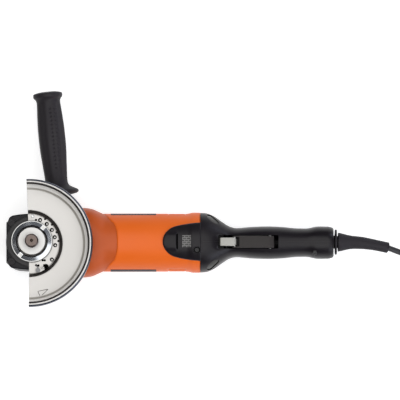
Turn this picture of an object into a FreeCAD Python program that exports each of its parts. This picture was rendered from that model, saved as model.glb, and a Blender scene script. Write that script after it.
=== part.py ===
import FreeCAD, Part
import math
import os

from FreeCAD import Placement, Rotation, Vector

# Angle grinder for 125 mm discs, lying on its back. Millimetres.
# +Z runs along the spindle towards its nose, +X along the body towards the rear handle, and +Y towards the
# side handle. The origin is on the spindle's axis, on the flat back of the gear head.

# ---- driving dimensions -----------------------------------------------------------------------------
MOTOR_Z = 32.0            # height of the motor's axis over the bench
RUN = 0.05                # radial clearance of a running fit
GAP = 0.3                 # clearance between pieces that only face each other

# gear head
HEAD_FRONT = -27.2        # front of the gear head
HEAD_HALF = 29.9          # half width of the gear head at the bearing flange
HEAD_REAR_TOP = 61.6      # top of the collar that joins the motor housing
HEAD_REAR = 48.0          # joint between the gear housing and the motor housing
HEAD_TOP = 46.0           # seat of the bearing flange
FLANGE_TOP = 56.5
BOSS_R = 26.5
BOSS_TOP = 58.5
NECK_R = 21.6             # the guard turns on this
NECK_TOP = 68.0
CHAMBER_R = 24.0
CHAMBER_FLOOR = 20.0
SCREW_X = 21.7            # flange screws, half spacing
SCREW_Y = 20.6

# spindle
SPINDLE_R = 7.0           # M14
SPINDLE_END = 92.0
SHOULDER_R = 9.0          # the spindle's shoulder, which centres the support flange
SHOULDER_TOP = 74.4
UNDERCUT_R = 6.1          # below the thread
BEARING_Z = 48.0
DISC_SEAT_R = 14.3
DISC_SEAT_TOP = 77.5

# bevel gears: their cones meet where the two axes cross
PINION_TEETH = 10
CROWN_TEETH = 31
CROWN_R = 19.5            # pitch radius at the large end
FACE_SHARE = 0.71         # small end over large end

# guard
GUARD_X = -2.8            # the pressed shell is off centre from the spindle
GUARD_Y = -2.4
GUARD_R = 67.3
GUARD_SHEET = 1.6
GUARD_FLOOR = 60.0
GUARD_PLATE = 66.0
GUARD_RIM = 88.0
GUARD_STEP_R = 35.0
GUARD_LIP = 5.2
GUARD_TURN = 1.3          # degrees that the guard is set round

# side handle
GRIP_BASE = Vector(26.8, 53.8, 26.0)      # centre of its hand flange
GRIP_TILT = 5.8           # degrees that it leans towards the front
GRIP_FLANGE_R = 22.5
STUD_R = 4.0              # M8

# motor
BARREL_R = 30.7
BARREL_BORE = 28.3
BARREL_END = 177.0
STATOR_R = 27.6
STATOR_BORE = 15.9
CORE_R = 15.3
CORE_X0 = 74.0
CORE_X1 = 122.0
COMMUTATOR_R = 10.5
BRUSH_X = 140.0
COVER_SCREW = (173.6, -7.5)   # place of the control cover's screw
COVER_INNER_R = 32.2                      # the tongue's skin over the barrel
COVER_OUTER_R = 34.4
# The handle's shoulder window seen from above (X, Y) on the +Y side, its height and its louvres
VENT_OUTLINE = [(185.4, 29.8), (185.6, 25.6), (192.4, 19.8), (197.8, 18.9), (197.8, 21.4), (189.6, 28.9)]
VENT_LOW = 34.0
VENT_TOP = 60.0
LOUVRES = 4
LOUVRE_PITCH = 5.0
SHAFT_R = 5.0
SHAFT_END_R = 4.0

# rear handle: place along X, half width, underside, top
HANDLE_SECTIONS = [
    (177.0, 31.7, 0.5, 63.5),
    (185.0, 31.0, 1.2, 62.6),
    (192.5, 28.0, 3.6, 60.6),
    (201.5, 21.8, 7.2, 57.6),
    (209.0, 17.2, 9.2, 55.6),
    (217.0, 15.5, 10.2, 54.6),
    (232.0, 16.7, 10.2, 54.4),
    (249.0, 17.2, 10.0, 54.4),
    (265.0, 16.6, 10.8, 54.0),
    (283.0, 15.1, 12.2, 53.0),
    (292.0, 15.2, 12.6, 52.6),
    (301.0, 17.0, 12.0, 53.4),
    (313.0, 17.1, 12.0, 53.4),
    (319.4, 15.6, 13.4, 52.0),
]
HANDLE_SQUARE = 2.3       # exponent of the handle's rounded section
HANDLE_WALL = 2.6

# motor housing: place along X, half width, underside, top, exponent of the section
HOUSING_SECTIONS = [
    (48.4, 36.8, 0.6, 61.8, 3.2),
    (57.0, 36.7, 0.8, 62.0, 3.0),
    (64.5, 35.4, 1.0, 62.2, 2.8),
    (70.5, 33.0, 1.3, 62.3, 2.5),
    (77.0, 30.6, 1.8, 62.3, 2.1),
    (90.0, 30.2, 2.0, 62.0, 2.0),
]
BARREL_X0 = 75.0          # where the round barrel stands out of the flare

# paddle
SLOT_X0 = 196.8
SLOT_X1 = 261.0
SLOT_HALF = 7.3
PADDLE_X0 = 212.0
PADDLE_X1 = 256.3
PADDLE_HALF = 6.3
PADDLE_TOP = 57.4
PADDLE_HINGE = Vector(252.0, 0, 44.0)
LEVER_HINGE = Vector(214.8, 0, 52.5)
LEVER_X0 = 199.0
LEVER_HALF = 4.85
LEVER_TOP = 57.6
PLUNGER_X = 232.0
PLUNGER_TOP = 46.4
SPRING_X = 222.5

# cord
CORD_R = 3.0
BOOT_LINE = [(324.2, 0.6, 32.0, 10.3), (337.0, 0.4, 31.3, 7.3), (349.3, -0.2, 29.8, 6.5),
             (363.0, -2.2, 27.0, 5.8), (377.0, -5.0, 23.0, 5.7)]
CORD_ROUTE = [(377.0, -5.0, 23.0), (389.5, -9.4, 18.3), (402.0, -14.2, 12.6), (415.5, -18.2, 6.4),
              (430.0, -20.6, 3.6), (444.0, -20.9, 3.8)]
COIL_X = 456.0
COIL_Y = 25.0
COIL_INNER = 24.0
COIL_OUTER = 48.0
COIL_LOW = 0.8
COIL_HIGH = 30.8
TAIL_ROUTE = [(500.9, 27.0, 27.8), (501.2, 42.0, 27.4), (500.4, 57.0, 24.6), (499.4, 71.0, 19.4),
              (498.6, 84.0, 14.6), (498.2, 96.0, 13.2)]
PLUG_Y0 = 96.0
PLUG_LENGTH = 46.0
PLUG_X = 498.0
PLUG_Z = 13.2

X_AXIS = Vector(1, 0, 0)
Y_AXIS = Vector(0, 1, 0)
Z_AXIS = Vector(0, 0, 1)
NODES = {}


# ---- shared shapes ----------------------------------------------------------------------------------
def cyl_z(radius, z0, z1, x=0.0, y=0.0):
    """A cylinder along Z."""
    return Part.makeCylinder(radius, z1 - z0, Vector(x, y, z0), Z_AXIS)


def ring_z(outer, inner, z0, z1, x=0.0, y=0.0):
    """A ring along Z."""
    return cyl_z(outer, z0, z1, x, y).cut(cyl_z(inner, z0 - 1, z1 + 1, x, y))


def cyl_x(radius, x0, x1, y=0.0, z=MOTOR_Z):
    """A cylinder along X, on the motor's axis unless told otherwise."""
    return Part.makeCylinder(radius, x1 - x0, Vector(x0, y, z), X_AXIS)


def ring_x(outer, inner, x0, x1, y=0.0, z=MOTOR_Z):
    """A ring along X."""
    return cyl_x(outer, x0, x1, y, z).cut(cyl_x(inner, x0 - 1, x1 + 1, y, z))


def cyl_y(radius, y0, y1, x, z):
    """A cylinder along Y."""
    return Part.makeCylinder(radius, y1 - y0, Vector(x, y0, z), Y_AXIS)


def block(x0, x1, y0, y1, z0, z1):
    """A box between two corners."""
    return Part.makeBox(x1 - x0, y1 - y0, z1 - z0, Vector(x0, y0, z0))


def extrude(points, direction):
    """A prism over a closed outline of straight sides."""
    wire = Part.makePolygon(points + [points[0]])
    return Part.Face(wire).extrude(direction)


def round_edges(solid, radius, direction):
    """Round the straight edges that run along a direction."""
    edges = []
    for edge in solid.Edges:
        if edge.Curve.TypeId == "Part::GeomLine":
            if abs(abs(edge.tangentAt(edge.FirstParameter).dot(direction)) - 1.0) < 1e-6:
                edges.append(edge)
    return solid.makeFillet(radius, edges)


def revolve(profile, base, direction, angle=360.0):
    """Turn a closed outline of straight sides round an axis."""
    wire = Part.makePolygon(profile + [profile[0]])
    return Part.Face(wire).revolve(base, direction, angle)


def turned(profile, angle=360.0):
    """Turn (radius, height) points round the spindle's axis."""
    points = [Vector(r, 0, z) for r, z in profile]
    return revolve(points, Vector(0, 0, 0), Z_AXIS, angle)


def group(solids):
    """Alike pieces that share one node."""
    return Part.makeCompound(solids)


def section(x, half, low, high, square, count=24):
    """A closed smooth wire: a superellipse that stands across X."""
    middle = (low + high) / 2
    rise = (high - low) / 2
    points = []
    for i in range(count):
        turn = 2 * math.pi * i / count
        across = math.copysign(abs(math.cos(turn)) ** (2 / square), math.cos(turn))
        up = math.copysign(abs(math.sin(turn)) ** (2 / square), math.sin(turn))
        points.append(Vector(x, half * across, middle + rise * up))
    curve = Part.BSplineCurve()
    curve.interpolate(Points=points, PeriodicFlag=True)
    return Part.Wire([curve.toShape()])


def spring_z(radius, wire_r, z0, z1, turns, x, y=0.0):
    """A round-wire compression spring along Z."""
    low = z0 + wire_r
    high = z1 - wire_r
    helix = Part.makeHelix((high - low) / turns, high - low, radius)
    start = Part.Wire([Part.makeCircle(wire_r, Vector(radius, 0, 0), Y_AXIS)])
    coil = Part.Wire(helix.Edges).makePipeShell([start], True, True)
    coil.translate(Vector(x, y, low))
    return coil


def cap_screw(radius, head_r, head, length, base, direction):
    """A socket-head screw. Its head stands on base and its shank runs the other way along direction."""
    shank = Part.makeCylinder(radius, length, base, direction * -1)
    top = Part.makeCylinder(head_r, head, base, direction)
    socket_depth = head * 0.6
    socket_floor = base + direction * (head - socket_depth)
    socket = Part.makeCylinder(head_r * 0.5, head, socket_floor, direction)
    return shank.fuse(top).cut(socket).removeSplitter()


def rounded_path(points):
    """Straight runs joined by tangent arcs, each as large as its two runs allow. Also its arcs' radii."""
    edges = []
    radii = []
    start = points[0]
    for i in range(1, len(points) - 1):
        corner = points[i]
        into = points[i - 1] - corner
        away = points[i + 1] - corner
        half_turn = (math.pi - into.getAngle(away)) / 2
        setback = 0.45 * min(into.Length, away.Length)
        radius = setback / math.tan(half_turn)
        into.normalize()
        away.normalize()
        arc_in = corner + into * setback
        arc_out = corner + away * setback
        bisector = (into + away).normalize()
        middle = corner + bisector * (math.hypot(radius, setback) - radius)
        edges.append(Part.LineSegment(start, arc_in).toShape())
        edges.append(Part.Arc(arc_in, middle, arc_out).toShape())
        radii.append(radius)
        start = arc_out
    edges.append(Part.LineSegment(start, points[-1]).toShape())
    return Part.Wire(edges), radii


def cord_run(route, name):
    """A round cord along a route of points."""
    points = [Vector(*place) for place in route]
    path, radii = rounded_path(points)
    circle = Part.makeCircle(CORD_R, points[0], points[1] - points[0])
    tube = path.makePipeShell([Part.Wire([circle])], True, False)
    share = tube.Volume / (math.pi * CORD_R ** 2 * path.Length)
    print(name, "length", round(path.Length, 1), "volume share", round(share, 4),
          "radii", [round(r) for r in radii])
    return tube


# ---- gear head --------------------------------------------------------------------------------------
def head_outline(z):
    """The bearing flange's rounded square, with slightly bowed sides."""
    bow = 1.6
    x0 = HEAD_FRONT + bow
    x1 = 28.0
    half = HEAD_HALF - bow
    corners = [Vector(x0, -half, z), Vector(x1, -half, z), Vector(x1, half, z), Vector(x0, half, z)]
    middles = [Vector((x0 + x1) / 2, -HEAD_HALF, z), Vector(x1 + bow, 0, z),
               Vector((x0 + x1) / 2, HEAD_HALF, z), Vector(HEAD_FRONT, 0, z)]
    edges = []
    for i in range(4):
        edges.append(Part.Arc(corners[i], middles[i], corners[(i + 1) % 4]).toShape())
    return Part.Face(Part.Wire(edges))


def bowed_prism(z0, z1):
    """The bearing flange's outline raised into a block with round corners."""
    return round_edges(head_outline(z0).extrude(Vector(0, 0, z1 - z0)), 7.4, Z_AXIS)


def handle_axis(side):
    """Direction of the side handle's thread on one side: +1 or -1 along Y."""
    tilt = math.radians(GRIP_TILT)
    return Vector(-math.sin(tilt), side * math.cos(tilt), 0)


def handle_point(side, along):
    """A point on the side handle's axis, measured from its hand flange."""
    base = Vector(GRIP_BASE.x, side * GRIP_BASE.y, GRIP_BASE.z)
    return base + handle_axis(side) * along


def gear_housing():
    """The cast head: gear chamber, bearing seats, side handle bosses and a flange for the motor."""
    front = bowed_prism(0, HEAD_TOP)
    plan = [Vector(10, -29.5, 0), Vector(30, -33.0, 0), Vector(HEAD_REAR, -36.6, 0),
            Vector(HEAD_REAR, 36.6, 0), Vector(30, 33.0, 0), Vector(10, 29.5, 0)]
    rear = extrude(plan, Vector(0, 0, HEAD_REAR_TOP))
    step = [Vector(9, -40, HEAD_TOP), Vector(33, -40, HEAD_TOP), Vector(41.5, -40, HEAD_REAR_TOP + 0.2),
            Vector(41.5, -40, 70), Vector(9, -40, 70)]
    rear = rear.cut(extrude(step, Vector(0, 80, 0)))
    body = front.fuse(rear)
    profile = [Vector(-40, -40, 15), Vector(-27.2, -40, 15), Vector(-24.5, -40, 6.5), Vector(-17, -40, 1.6),
               Vector(-12, -40, 0), Vector(60, -40, 0), Vector(60, -40, 64), Vector(-40, -40, 64)]
    body = body.common(extrude(profile, Vector(0, 80, 0)))
    across = section(-40, 36.9, 0, 64.0, 3.6)
    body = body.common(Part.Face(across).extrude(Vector(100, 0, 0)))
    for side in (1, -1):
        boss = Part.makeCylinder(11.0, 14.0, handle_point(side, -29.5), handle_axis(side))
        body = body.fuse(boss)
    body = body.cut(cyl_z(CHAMBER_R, CHAMBER_FLOOR, 80))
    body = body.cut(cyl_z(9.05, 6, 30))
    body = body.cut(cyl_x(10.5, 15, 40))
    body = body.cut(cyl_x(13.05, 29.8, 60))
    body = body.cut(cyl_x(27.9, 42, 60))
    body = body.cut(cyl_z(6.2, -1, 9.5, -16))
    body = body.cut(cyl_z(4.6, 9, 16, -16))
    body = body.cut(cyl_z(2.6, 15, 30, -16))
    for side in (1, -1):
        radius = STUD_R + RUN if side == 1 else 3.4
        body = body.cut(Part.makeCylinder(radius, 20.0, handle_point(side, -35.5), handle_axis(side)))
    for x, y in corner_places(SCREW_X, SCREW_Y):
        body = body.cut(cyl_z(2.15, 32, 60, x, y))
    for y, z in housing_screw_places():
        body = body.cut(cyl_x(2.25, 35, 60, y, z))
        body = body.cut(cyl_x(4.2, 20, 44.0, y, z))
    return body.removeSplitter()


def corner_places(x, y):
    """The four corners of a rectangle about the spindle."""
    return [(x, y), (-x, y), (-x, -y), (x, -y)]


def housing_screw_places():
    """Where the screws that join the two housings stand, as (y, z)."""
    return [(27.0, 13.5), (-27.0, 13.5), (29.5, 45.0), (-29.5, 45.0)]


def bearing_flange():
    """The cover that holds the spindle's bearing and carries the guard on its neck."""
    body = bowed_prism(HEAD_TOP + 0.1, FLANGE_TOP)
    body = body.fuse(cyl_z(BOSS_R, HEAD_TOP + 1, BOSS_TOP))
    body = body.fuse(cyl_z(NECK_R, HEAD_TOP + 1, NECK_TOP))
    body = body.cut(cyl_z(15.2, 40, 80))
    body = body.cut(cyl_z(16.05, BEARING_Z - 0.1, BEARING_Z + 10.1))
    body = body.cut(cyl_z(18.6, BEARING_Z + 10.0, 80))
    for x, y in corner_places(SCREW_X, SCREW_Y):
        body = body.cut(cyl_z(2.4, 40, 80, x, y))
        body = body.cut(cyl_z(4.3, 52.6, 80, x, y))
    return body.removeSplitter()


def flange_screws():
    """Four cap screws, sunk in the flange's corners."""
    screws = []
    for x, y in corner_places(SCREW_X, SCREW_Y):
        screws.append(cap_screw(2.0, 3.8, 3.6, 17.0, Vector(x, y, 52.7), Z_AXIS))
    return group(screws)


def spindle():
    """The stepped steel spindle, with a chamfered M14 nose and a centre-drilled end."""
    profile = [(0, 8), (4.0, 8), (4.0, 20), (5.5, 20), (5.5, 47.6), (6.0, 47.6), (6.0, 58.1), (SHOULDER_R, 58.1),
               (SHOULDER_R, SHOULDER_TOP), (UNDERCUT_R, SHOULDER_TOP), (UNDERCUT_R, DISC_SEAT_TOP + 0.4),
               (SPINDLE_R, DISC_SEAT_TOP + 1.2), (SPINDLE_R, SPINDLE_END - 1.2),
               (5.9, SPINDLE_END), (1.9, SPINDLE_END), (0, SPINDLE_END - 2.6)]
    return turned(profile)


def support_flange():
    """The disc's support flange, bored to pass the thread and counterbored to sit on the shoulder."""
    return turned([(SHOULDER_R + 0.02, 72.6), (DISC_SEAT_R, 72.6), (DISC_SEAT_R, DISC_SEAT_TOP),
                   (SPINDLE_R + 0.05, DISC_SEAT_TOP), (SPINDLE_R + 0.05, SHOULDER_TOP),
                   (SHOULDER_R + 0.02, SHOULDER_TOP)])


def gap_wedge(teeth, pitch_r, across_r, lean):
    """One gap between bevel teeth: a pyramid from the gears' common point, on the gear that turns on Z."""
    cone = math.atan2(pitch_r, across_r)
    slant = math.hypot(pitch_r, across_r)
    module = 2 * pitch_r / teeth
    half = math.pi * module * 0.305
    root = -1.35 * module
    crest = 3.2 * module
    along = Vector(math.sin(cone), 0, math.cos(cone))
    out = Vector(math.cos(cone), 0, -math.sin(cone))
    spread = math.tan(math.radians(lean))
    corners = []
    for height, sign in ((root, -1), (root, 1), (crest, 1), (crest, -1)):
        width = half + height * spread
        corners.append((along * slant + out * height + Vector(0, sign * width, 0)) * 1.3)
    faces = [Part.Face(Part.makePolygon(corners + [corners[0]]))]
    for i in range(4):
        triangle = [Vector(0, 0, 0), corners[i], corners[(i + 1) % 4], Vector(0, 0, 0)]
        faces.append(Part.Face(Part.makePolygon(triangle)))
    return Part.Solid(Part.Shell(faces))


def bevel_gear(teeth, pitch_r, across_r, hub, lean, first):
    """A bevel gear on the Z axis with its cone's point at the origin. hub is its (radius, z) outline."""
    gear = turned(hub)
    wedge = gap_wedge(teeth, pitch_r, across_r, lean)
    wedges = []
    for i in range(teeth):
        one = wedge.copy()
        one.rotate(Vector(0, 0, 0), Z_AXIS, (i + first) * 360.0 / teeth)
        wedges.append(one)
    return gear.cut(wedges)


def gear_sizes():
    """Pitch radii of pinion and crown gear, and the tooth's addendum."""
    module = 2 * CROWN_R / CROWN_TEETH
    return PINION_TEETH * module / 2, CROWN_R, module * 0.8


def crown_gear():
    """The large bevel gear on the spindle, its teeth turned to the pinion."""
    pinion_r, crown_r, tip = gear_sizes()
    cone = math.atan2(crown_r, pinion_r)
    outer_r = crown_r + tip * math.cos(cone)
    outer_z = pinion_r - tip * math.sin(cone)
    inner_r = outer_r * FACE_SHARE
    inner_z = outer_z * FACE_SHARE
    hub = [(5.55, inner_z + 2.2), (11.0, inner_z + 2.2), (inner_r, inner_z), (outer_r, outer_z),
           (outer_r - 1.0, 11.0), (12.0, 12.5), (12.0, 15.2), (5.55, 15.2)]
    gear = bevel_gear(CROWN_TEETH, crown_r, pinion_r, hub, 20.0, 0.0)
    gear.translate(Vector(0, 0, MOTOR_Z))
    return gear


def pinion_gear():
    """The small bevel gear on the armature's shaft."""
    pinion_r, crown_r, tip = gear_sizes()
    cone = math.atan2(pinion_r, crown_r)
    outer_r = pinion_r + tip * math.cos(cone)
    outer_z = crown_r - tip * math.sin(cone)
    inner_r = outer_r * FACE_SHARE
    inner_z = outer_z * FACE_SHARE
    bore = SHAFT_END_R + 0.02
    hub = [(bore, inner_z), (inner_r, inner_z), (outer_r, outer_z), (6.0, outer_z + 1.5), (6.0, 28.6),
           (bore, 28.6)]
    gear = bevel_gear(PINION_TEETH, pinion_r, crown_r, hub, 24.0, 0.5)
    gear.rotate(Vector(0, 0, 0), Y_AXIS, 90)
    gear.translate(Vector(0, 0, MOTOR_Z))
    return gear


def balls_z(count, ball_r, pitch_r, z):
    """Bearing balls in a ring about the spindle."""
    balls = []
    for i in range(count):
        turn = 2 * math.pi * i / count
        balls.append(Part.makeSphere(ball_r, Vector(pitch_r * math.cos(turn), pitch_r * math.sin(turn), z)))
    return group(balls)


def race_z(outer, inner, z0, z1, pitch_r, ball_r):
    """A bearing race about the spindle, with its ball groove."""
    groove = Part.makeTorus(pitch_r, ball_r, Vector(0, 0, (z0 + z1) / 2), Z_AXIS)
    return ring_z(outer, inner, z0, z1).cut(groove)


def race_x(outer, inner, x0, x1, pitch_r, ball_r):
    """A bearing race about the motor's axis, with its ball groove."""
    groove = Part.makeTorus(pitch_r, ball_r, Vector((x0 + x1) / 2, 0, MOTOR_Z), X_AXIS)
    return ring_x(outer, inner, x0, x1).cut(groove)


def inner_race_with_balls(outer, inner, x0, x1, pitch_r, ball_r, count):
    """An inner race of the motor's bearings and the balls that run on it."""
    solids = [race_x(outer, inner, x0, x1, pitch_r, ball_r + RUN)]
    for i in range(count):
        turn = 2 * math.pi * i / count
        place = Vector((x0 + x1) / 2, pitch_r * math.cos(turn), MOTOR_Z + pitch_r * math.sin(turn))
        solids.append(Part.makeSphere(ball_r, place))
    return group(solids)


def retainer_ring():
    """The bright slotted ring that is screwed into the neck over the bearing."""
    profile = [(15.0, 58.7), (18.4, 58.7), (18.4, NECK_TOP + 0.1), (NECK_R - 0.1, NECK_TOP + 0.1),
               (NECK_R - 0.1, 69.6), (18.2, 71.0), (17.2, 71.0), (17.2, 66.5), (15.0, 66.5)]
    ring = turned(profile)
    for angle in (50.0, 230.0):
        slot = block(14, 26, -2.0, 2.0, 68.7, 75)
        slot.rotate(Vector(0, 0, 0), Z_AXIS, angle)
        ring = ring.cut(slot)
    return ring


def lock_parts():
    """Spindle lock: a plastic button, its steel pin and the spring under the button."""
    pin = cyl_z(2.5, 3.2, 32.0, -16)
    button = cyl_z(5.8, 0.5, 6.2, -16).cut(cyl_z(2.55, 3.1, 10, -16))
    for i in range(3):
        button = button.cut(block(-21, -11, -3.4 + 2.6 * i, -1.8 + 2.6 * i, 0, 1.0))
    spring = spring_z(3.7, 0.5, 6.5, 15.8, 5, -16)
    return button, pin, spring


# ---- guard ------------------------------------------------------------------------------------------
def half_turned(profile):
    """Turn (radius, height) points half round the guard's own axis, open at its cut edge."""
    points = [Vector(r, 0, z) for r, z in profile]
    solid = revolve(points, Vector(0, 0, 0), Z_AXIS, 180)
    solid.rotate(Vector(0, 0, 0), Z_AXIS, -90 + GUARD_TURN)
    solid.translate(Vector(GUARD_X, GUARD_Y, 0))
    return solid


def guard_shell():
    """The pressed guard: floor round the neck, step, half-disc plate, wall and turned-in lip."""
    t = GUARD_SHEET
    r = GUARD_R
    step = GUARD_STEP_R
    outline = [(0, GUARD_FLOOR), (step - 1, GUARD_FLOOR), (step, GUARD_FLOOR + 1),
               (step, GUARD_PLATE), (r - 1.5, GUARD_PLATE), (r, GUARD_PLATE + 1.5), (r, GUARD_RIM - 1.5),
               (r - 1.5, GUARD_RIM), (r - GUARD_LIP, GUARD_RIM), (r - GUARD_LIP, GUARD_RIM - t),
               (r - t - 0.6, GUARD_RIM - t), (r - t, GUARD_RIM - t - 0.6), (r - t, GUARD_PLATE + t + 0.6),
               (r - t - 0.6, GUARD_PLATE + t), (step - t - 0.6, GUARD_PLATE + t),
               (step - t, GUARD_PLATE + t - 0.6), (step - t, GUARD_FLOOR + t), (0, GUARD_FLOOR + t)]
    shell = half_turned(outline)
    return shell.cut(cyl_z(NECK_R + GAP, 50, 80))


def index_places():
    """The index plate's holes, as (angle, radius, hole radius)."""
    places = [(69.0 - 19.5 * i, 25.4 - 0.25 * i, 1.9) for i in range(5)]
    places.append((-41.0, 28.0, 1.9))
    return places


def guard_index_ring():
    """The plate with the latch holes, welded to the floor, and its collar round the whole neck."""
    low = GUARD_FLOOR + GUARD_SHEET + 0.05
    plate = half_turned([(0, low), (GUARD_STEP_R - GUARD_SHEET - 0.8, low),
                         (GUARD_STEP_R - GUARD_SHEET - 0.8, low + 1.5), (0, low + 1.5)])
    collar = ring_z(NECK_R + 1.3, NECK_R + GAP, low, low + 3.6)
    plate = plate.cut(cyl_z(NECK_R + GAP, 50, 80)).fuse(collar)
    for angle, radius, hole in index_places():
        turn = math.radians(angle)
        plate = plate.cut(cyl_z(hole, low - 1, low + 1.8, radius * math.cos(turn), radius * math.sin(turn)))
    plate = plate.cut(cyl_z(3.4, low - 1, low + 6, 14.3, -24.6))
    return plate.cut(cyl_z(1.75, low - 1, low + 6, 6.6, -30.4))


def guard_latch():
    """The latch lever: a small bent plate that turns on its pin."""
    low = GUARD_FLOOR + GUARD_SHEET + 1.75
    outline = [Vector(3.4, -31.8, low), Vector(8.4, -32.8, low), Vector(13.6, -30.0, low),
               Vector(13.2, -26.6, low), Vector(9.6, -27.4, low), Vector(4.4, -28.6, low)]
    plate = extrude(outline, Vector(0, 0, 1.6))
    nose = extrude([Vector(10.0, -27.6, low), Vector(13.2, -27.0, low), Vector(13.4, -29.0, low),
                    Vector(10.2, -29.4, low)], Vector(0, 0, 4.4))
    return plate.fuse(nose).cut(cyl_z(1.3, 50, 80, 6.6, -30.4)).removeSplitter()


def guard_latch_pin():
    """The headed pin under the latch lever."""
    low = GUARD_FLOOR + GUARD_SHEET + 0.05
    return cyl_z(1.25, low, low + 3.9, 6.6, -30.4).fuse(cyl_z(2.4, low + 3.7, low + 4.7, 6.6, -30.4))


# ---- side handle ------------------------------------------------------------------------------------
def along_grip(shape):
    """Set a shape made along Z from the hand flange onto the side handle's axis."""
    shape.Placement = Placement(GRIP_BASE, Rotation(Z_AXIS, handle_axis(1))).multiply(shape.Placement)
    return shape


def side_handle_grip():
    """The moulded grip: nose, hand flange, waisted grip and an end bead."""
    base = [Vector(0, 0, -15.0), Vector(11.0, 0, -15.0), Vector(12.6, 0, -4.0), Vector(20.5, 0, -2.3),
            Vector(GRIP_FLANGE_R, 0, -0.9), Vector(GRIP_FLANGE_R, 0, 0.9), Vector(20.5, 0, 2.2),
            Vector(13.4, 0, 6.0), Vector(11.8, 0, 11.5)]
    side = Part.BSplineCurve()
    side.interpolate([Vector(11.8, 0, 11.5), Vector(12.9, 0, 28.0), Vector(14.2, 0, 48.0),
                      Vector(14.3, 0, 64.0), Vector(13.5, 0, 82.0), Vector(12.6, 0, 97.5)])
    end = [Vector(12.6, 0, 97.5), Vector(15.3, 0, 101.6), Vector(15.6, 0, 103.6), Vector(14.0, 0, 106.0),
           Vector(6.0, 0, 107.0), Vector(0, 0, 107.2)]
    edges = [Part.LineSegment(a, b).toShape() for a, b in zip(base, base[1:])]
    edges.append(side.toShape())
    edges += [Part.LineSegment(a, b).toShape() for a, b in zip(end, end[1:])]
    edges.append(Part.LineSegment(end[-1], base[0]).toShape())
    grip = Part.Face(Part.Wire(edges)).revolve(Vector(0, 0, 0), Z_AXIS, 360)
    grip = grip.cut(Part.makeCylinder(STUD_R + 0.02, 37.02, Vector(0, 0, -16), Z_AXIS))
    return along_grip(grip)


def side_handle_stud():
    """The M8 stud that screws into the gear housing."""
    return along_grip(Part.makeCylinder(STUD_R, 55.0, Vector(0, 0, -34.0), Z_AXIS))


# ---- motor ------------------------------------------------------------------------------------------
def motor_housing():
    """The barrel: flared front, straight middle, rear bulge, and a bulkhead for the rear bearing."""
    wires = [section(x, half, low, high, square) for x, half, low, high, square in HOUSING_SECTIONS]
    flare = Part.makeLoft(wires, True, False)
    barrel = cyl_x(BARREL_R, BARREL_X0, BARREL_END - 0.4)
    bulge = [Vector(163.0, 0, MOTOR_Z), Vector(163.0, 0, MOTOR_Z + BARREL_R - 0.2),
             Vector(169.0, 0, MOTOR_Z + 31.9), Vector(BARREL_END - 0.4, 0, MOTOR_Z + 31.9),
             Vector(BARREL_END - 0.4, 0, MOTOR_Z)]
    rear = revolve(bulge, Vector(0, 0, MOTOR_Z), X_AXIS)
    body = flare.fuse([barrel, rear])
    body = body.cut(cyl_x(BARREL_BORE, 40, 157))
    body = body.cut(cyl_x(13.7, 150, 190))
    body = body.cut(cyl_x(BARREL_BORE + 0.6, 164, 190))
    for i in range(6):
        turn = math.pi * (i + 0.5) / 3
        body = body.cut(cyl_x(4.6, 150, 170, 21 * math.cos(turn), MOTOR_Z + 21 * math.sin(turn)))
    for y, z in housing_screw_places():
        body = body.cut(cyl_x(2.05, 40, 66, y, z))
    return body.cut(cyl_z(1.75, 55, 70, *COVER_SCREW))


def housing_screws():
    """Four screws that pull the gear housing onto the motor housing."""
    screws = []
    for y, z in housing_screw_places():
        screws.append(cap_screw(2.0, 3.8, 3.4, 21.0, Vector(43.9, y, z), X_AXIS * -1))
    return group(screws)


def arc_block(outer, inner, x0, x1, middle, spread):
    """Part of a ring along X, spread degrees each side of a middle angle measured from +Z."""
    profile = [Vector(x0, 0, inner), Vector(x0, 0, outer), Vector(x1, 0, outer), Vector(x1, 0, inner)]
    solid = revolve(profile, Vector(0, 0, 0), X_AXIS, 2 * spread)
    solid.rotate(Vector(0, 0, 0), X_AXIS, middle - spread)
    solid.translate(Vector(0, 0, MOTOR_Z))
    return solid


def stator_core():
    """The laminated field: an outer yoke with two poles and windows for the coils."""
    core = ring_x(STATOR_R, STATOR_BORE, CORE_X0, CORE_X1)
    for middle in (60, 120, 240, 300):
        core = core.cut(arc_block(24.2, 17.4, CORE_X0 - 1, CORE_X1 + 1, middle, 15.5))
    return core


def stator_coils():
    """Two field coils, each a loop through two windows round its pole."""
    coils = []
    for pole in (0, 180):
        bars = []
        for middle in (pole + 60, pole - 60):
            bars.append(arc_block(23.9, 17.7, CORE_X0 - 5, CORE_X1 + 5, middle, 14.5))
        for x in (CORE_X0 - 5, CORE_X1 + 0.8):
            bars.append(arc_block(23.9, 17.7, x, x + 4.2, pole, 74.5))
        coils.append(bars[0].fuse(bars[1:]).removeSplitter())
    return group(coils)


def armature_shaft():
    """The armature's stepped shaft, its front end tapered to clear the crown gear's teeth."""
    z = MOTOR_Z
    profile = [Vector(12.4, 0, z), Vector(12.4, 0, z + 3.0), Vector(16.0, 0, z + SHAFT_END_R),
               Vector(28.8, 0, z + SHAFT_END_R), Vector(28.8, 0, z + SHAFT_R), Vector(150, 0, z + SHAFT_R),
               Vector(150, 0, z + SHAFT_END_R), Vector(167.4, 0, z + SHAFT_END_R), Vector(167.4, 0, z)]
    return revolve(profile, Vector(0, 0, z), X_AXIS)


def armature_core():
    """The slotted rotor stack."""
    core = ring_x(CORE_R, SHAFT_R + 0.02, CORE_X0, CORE_X1)
    slots = []
    for i in range(12):
        slot = block(CORE_X0 - 1, CORE_X1 + 1, -0.7, 0.7, 9.0, 17.0)
        slot.rotate(Vector(0, 0, 0), X_AXIS, 30 * i + 15)
        slot.translate(Vector(0, 0, MOTOR_Z))
        slots.append(slot)
    return core.cut(slots)


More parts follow.
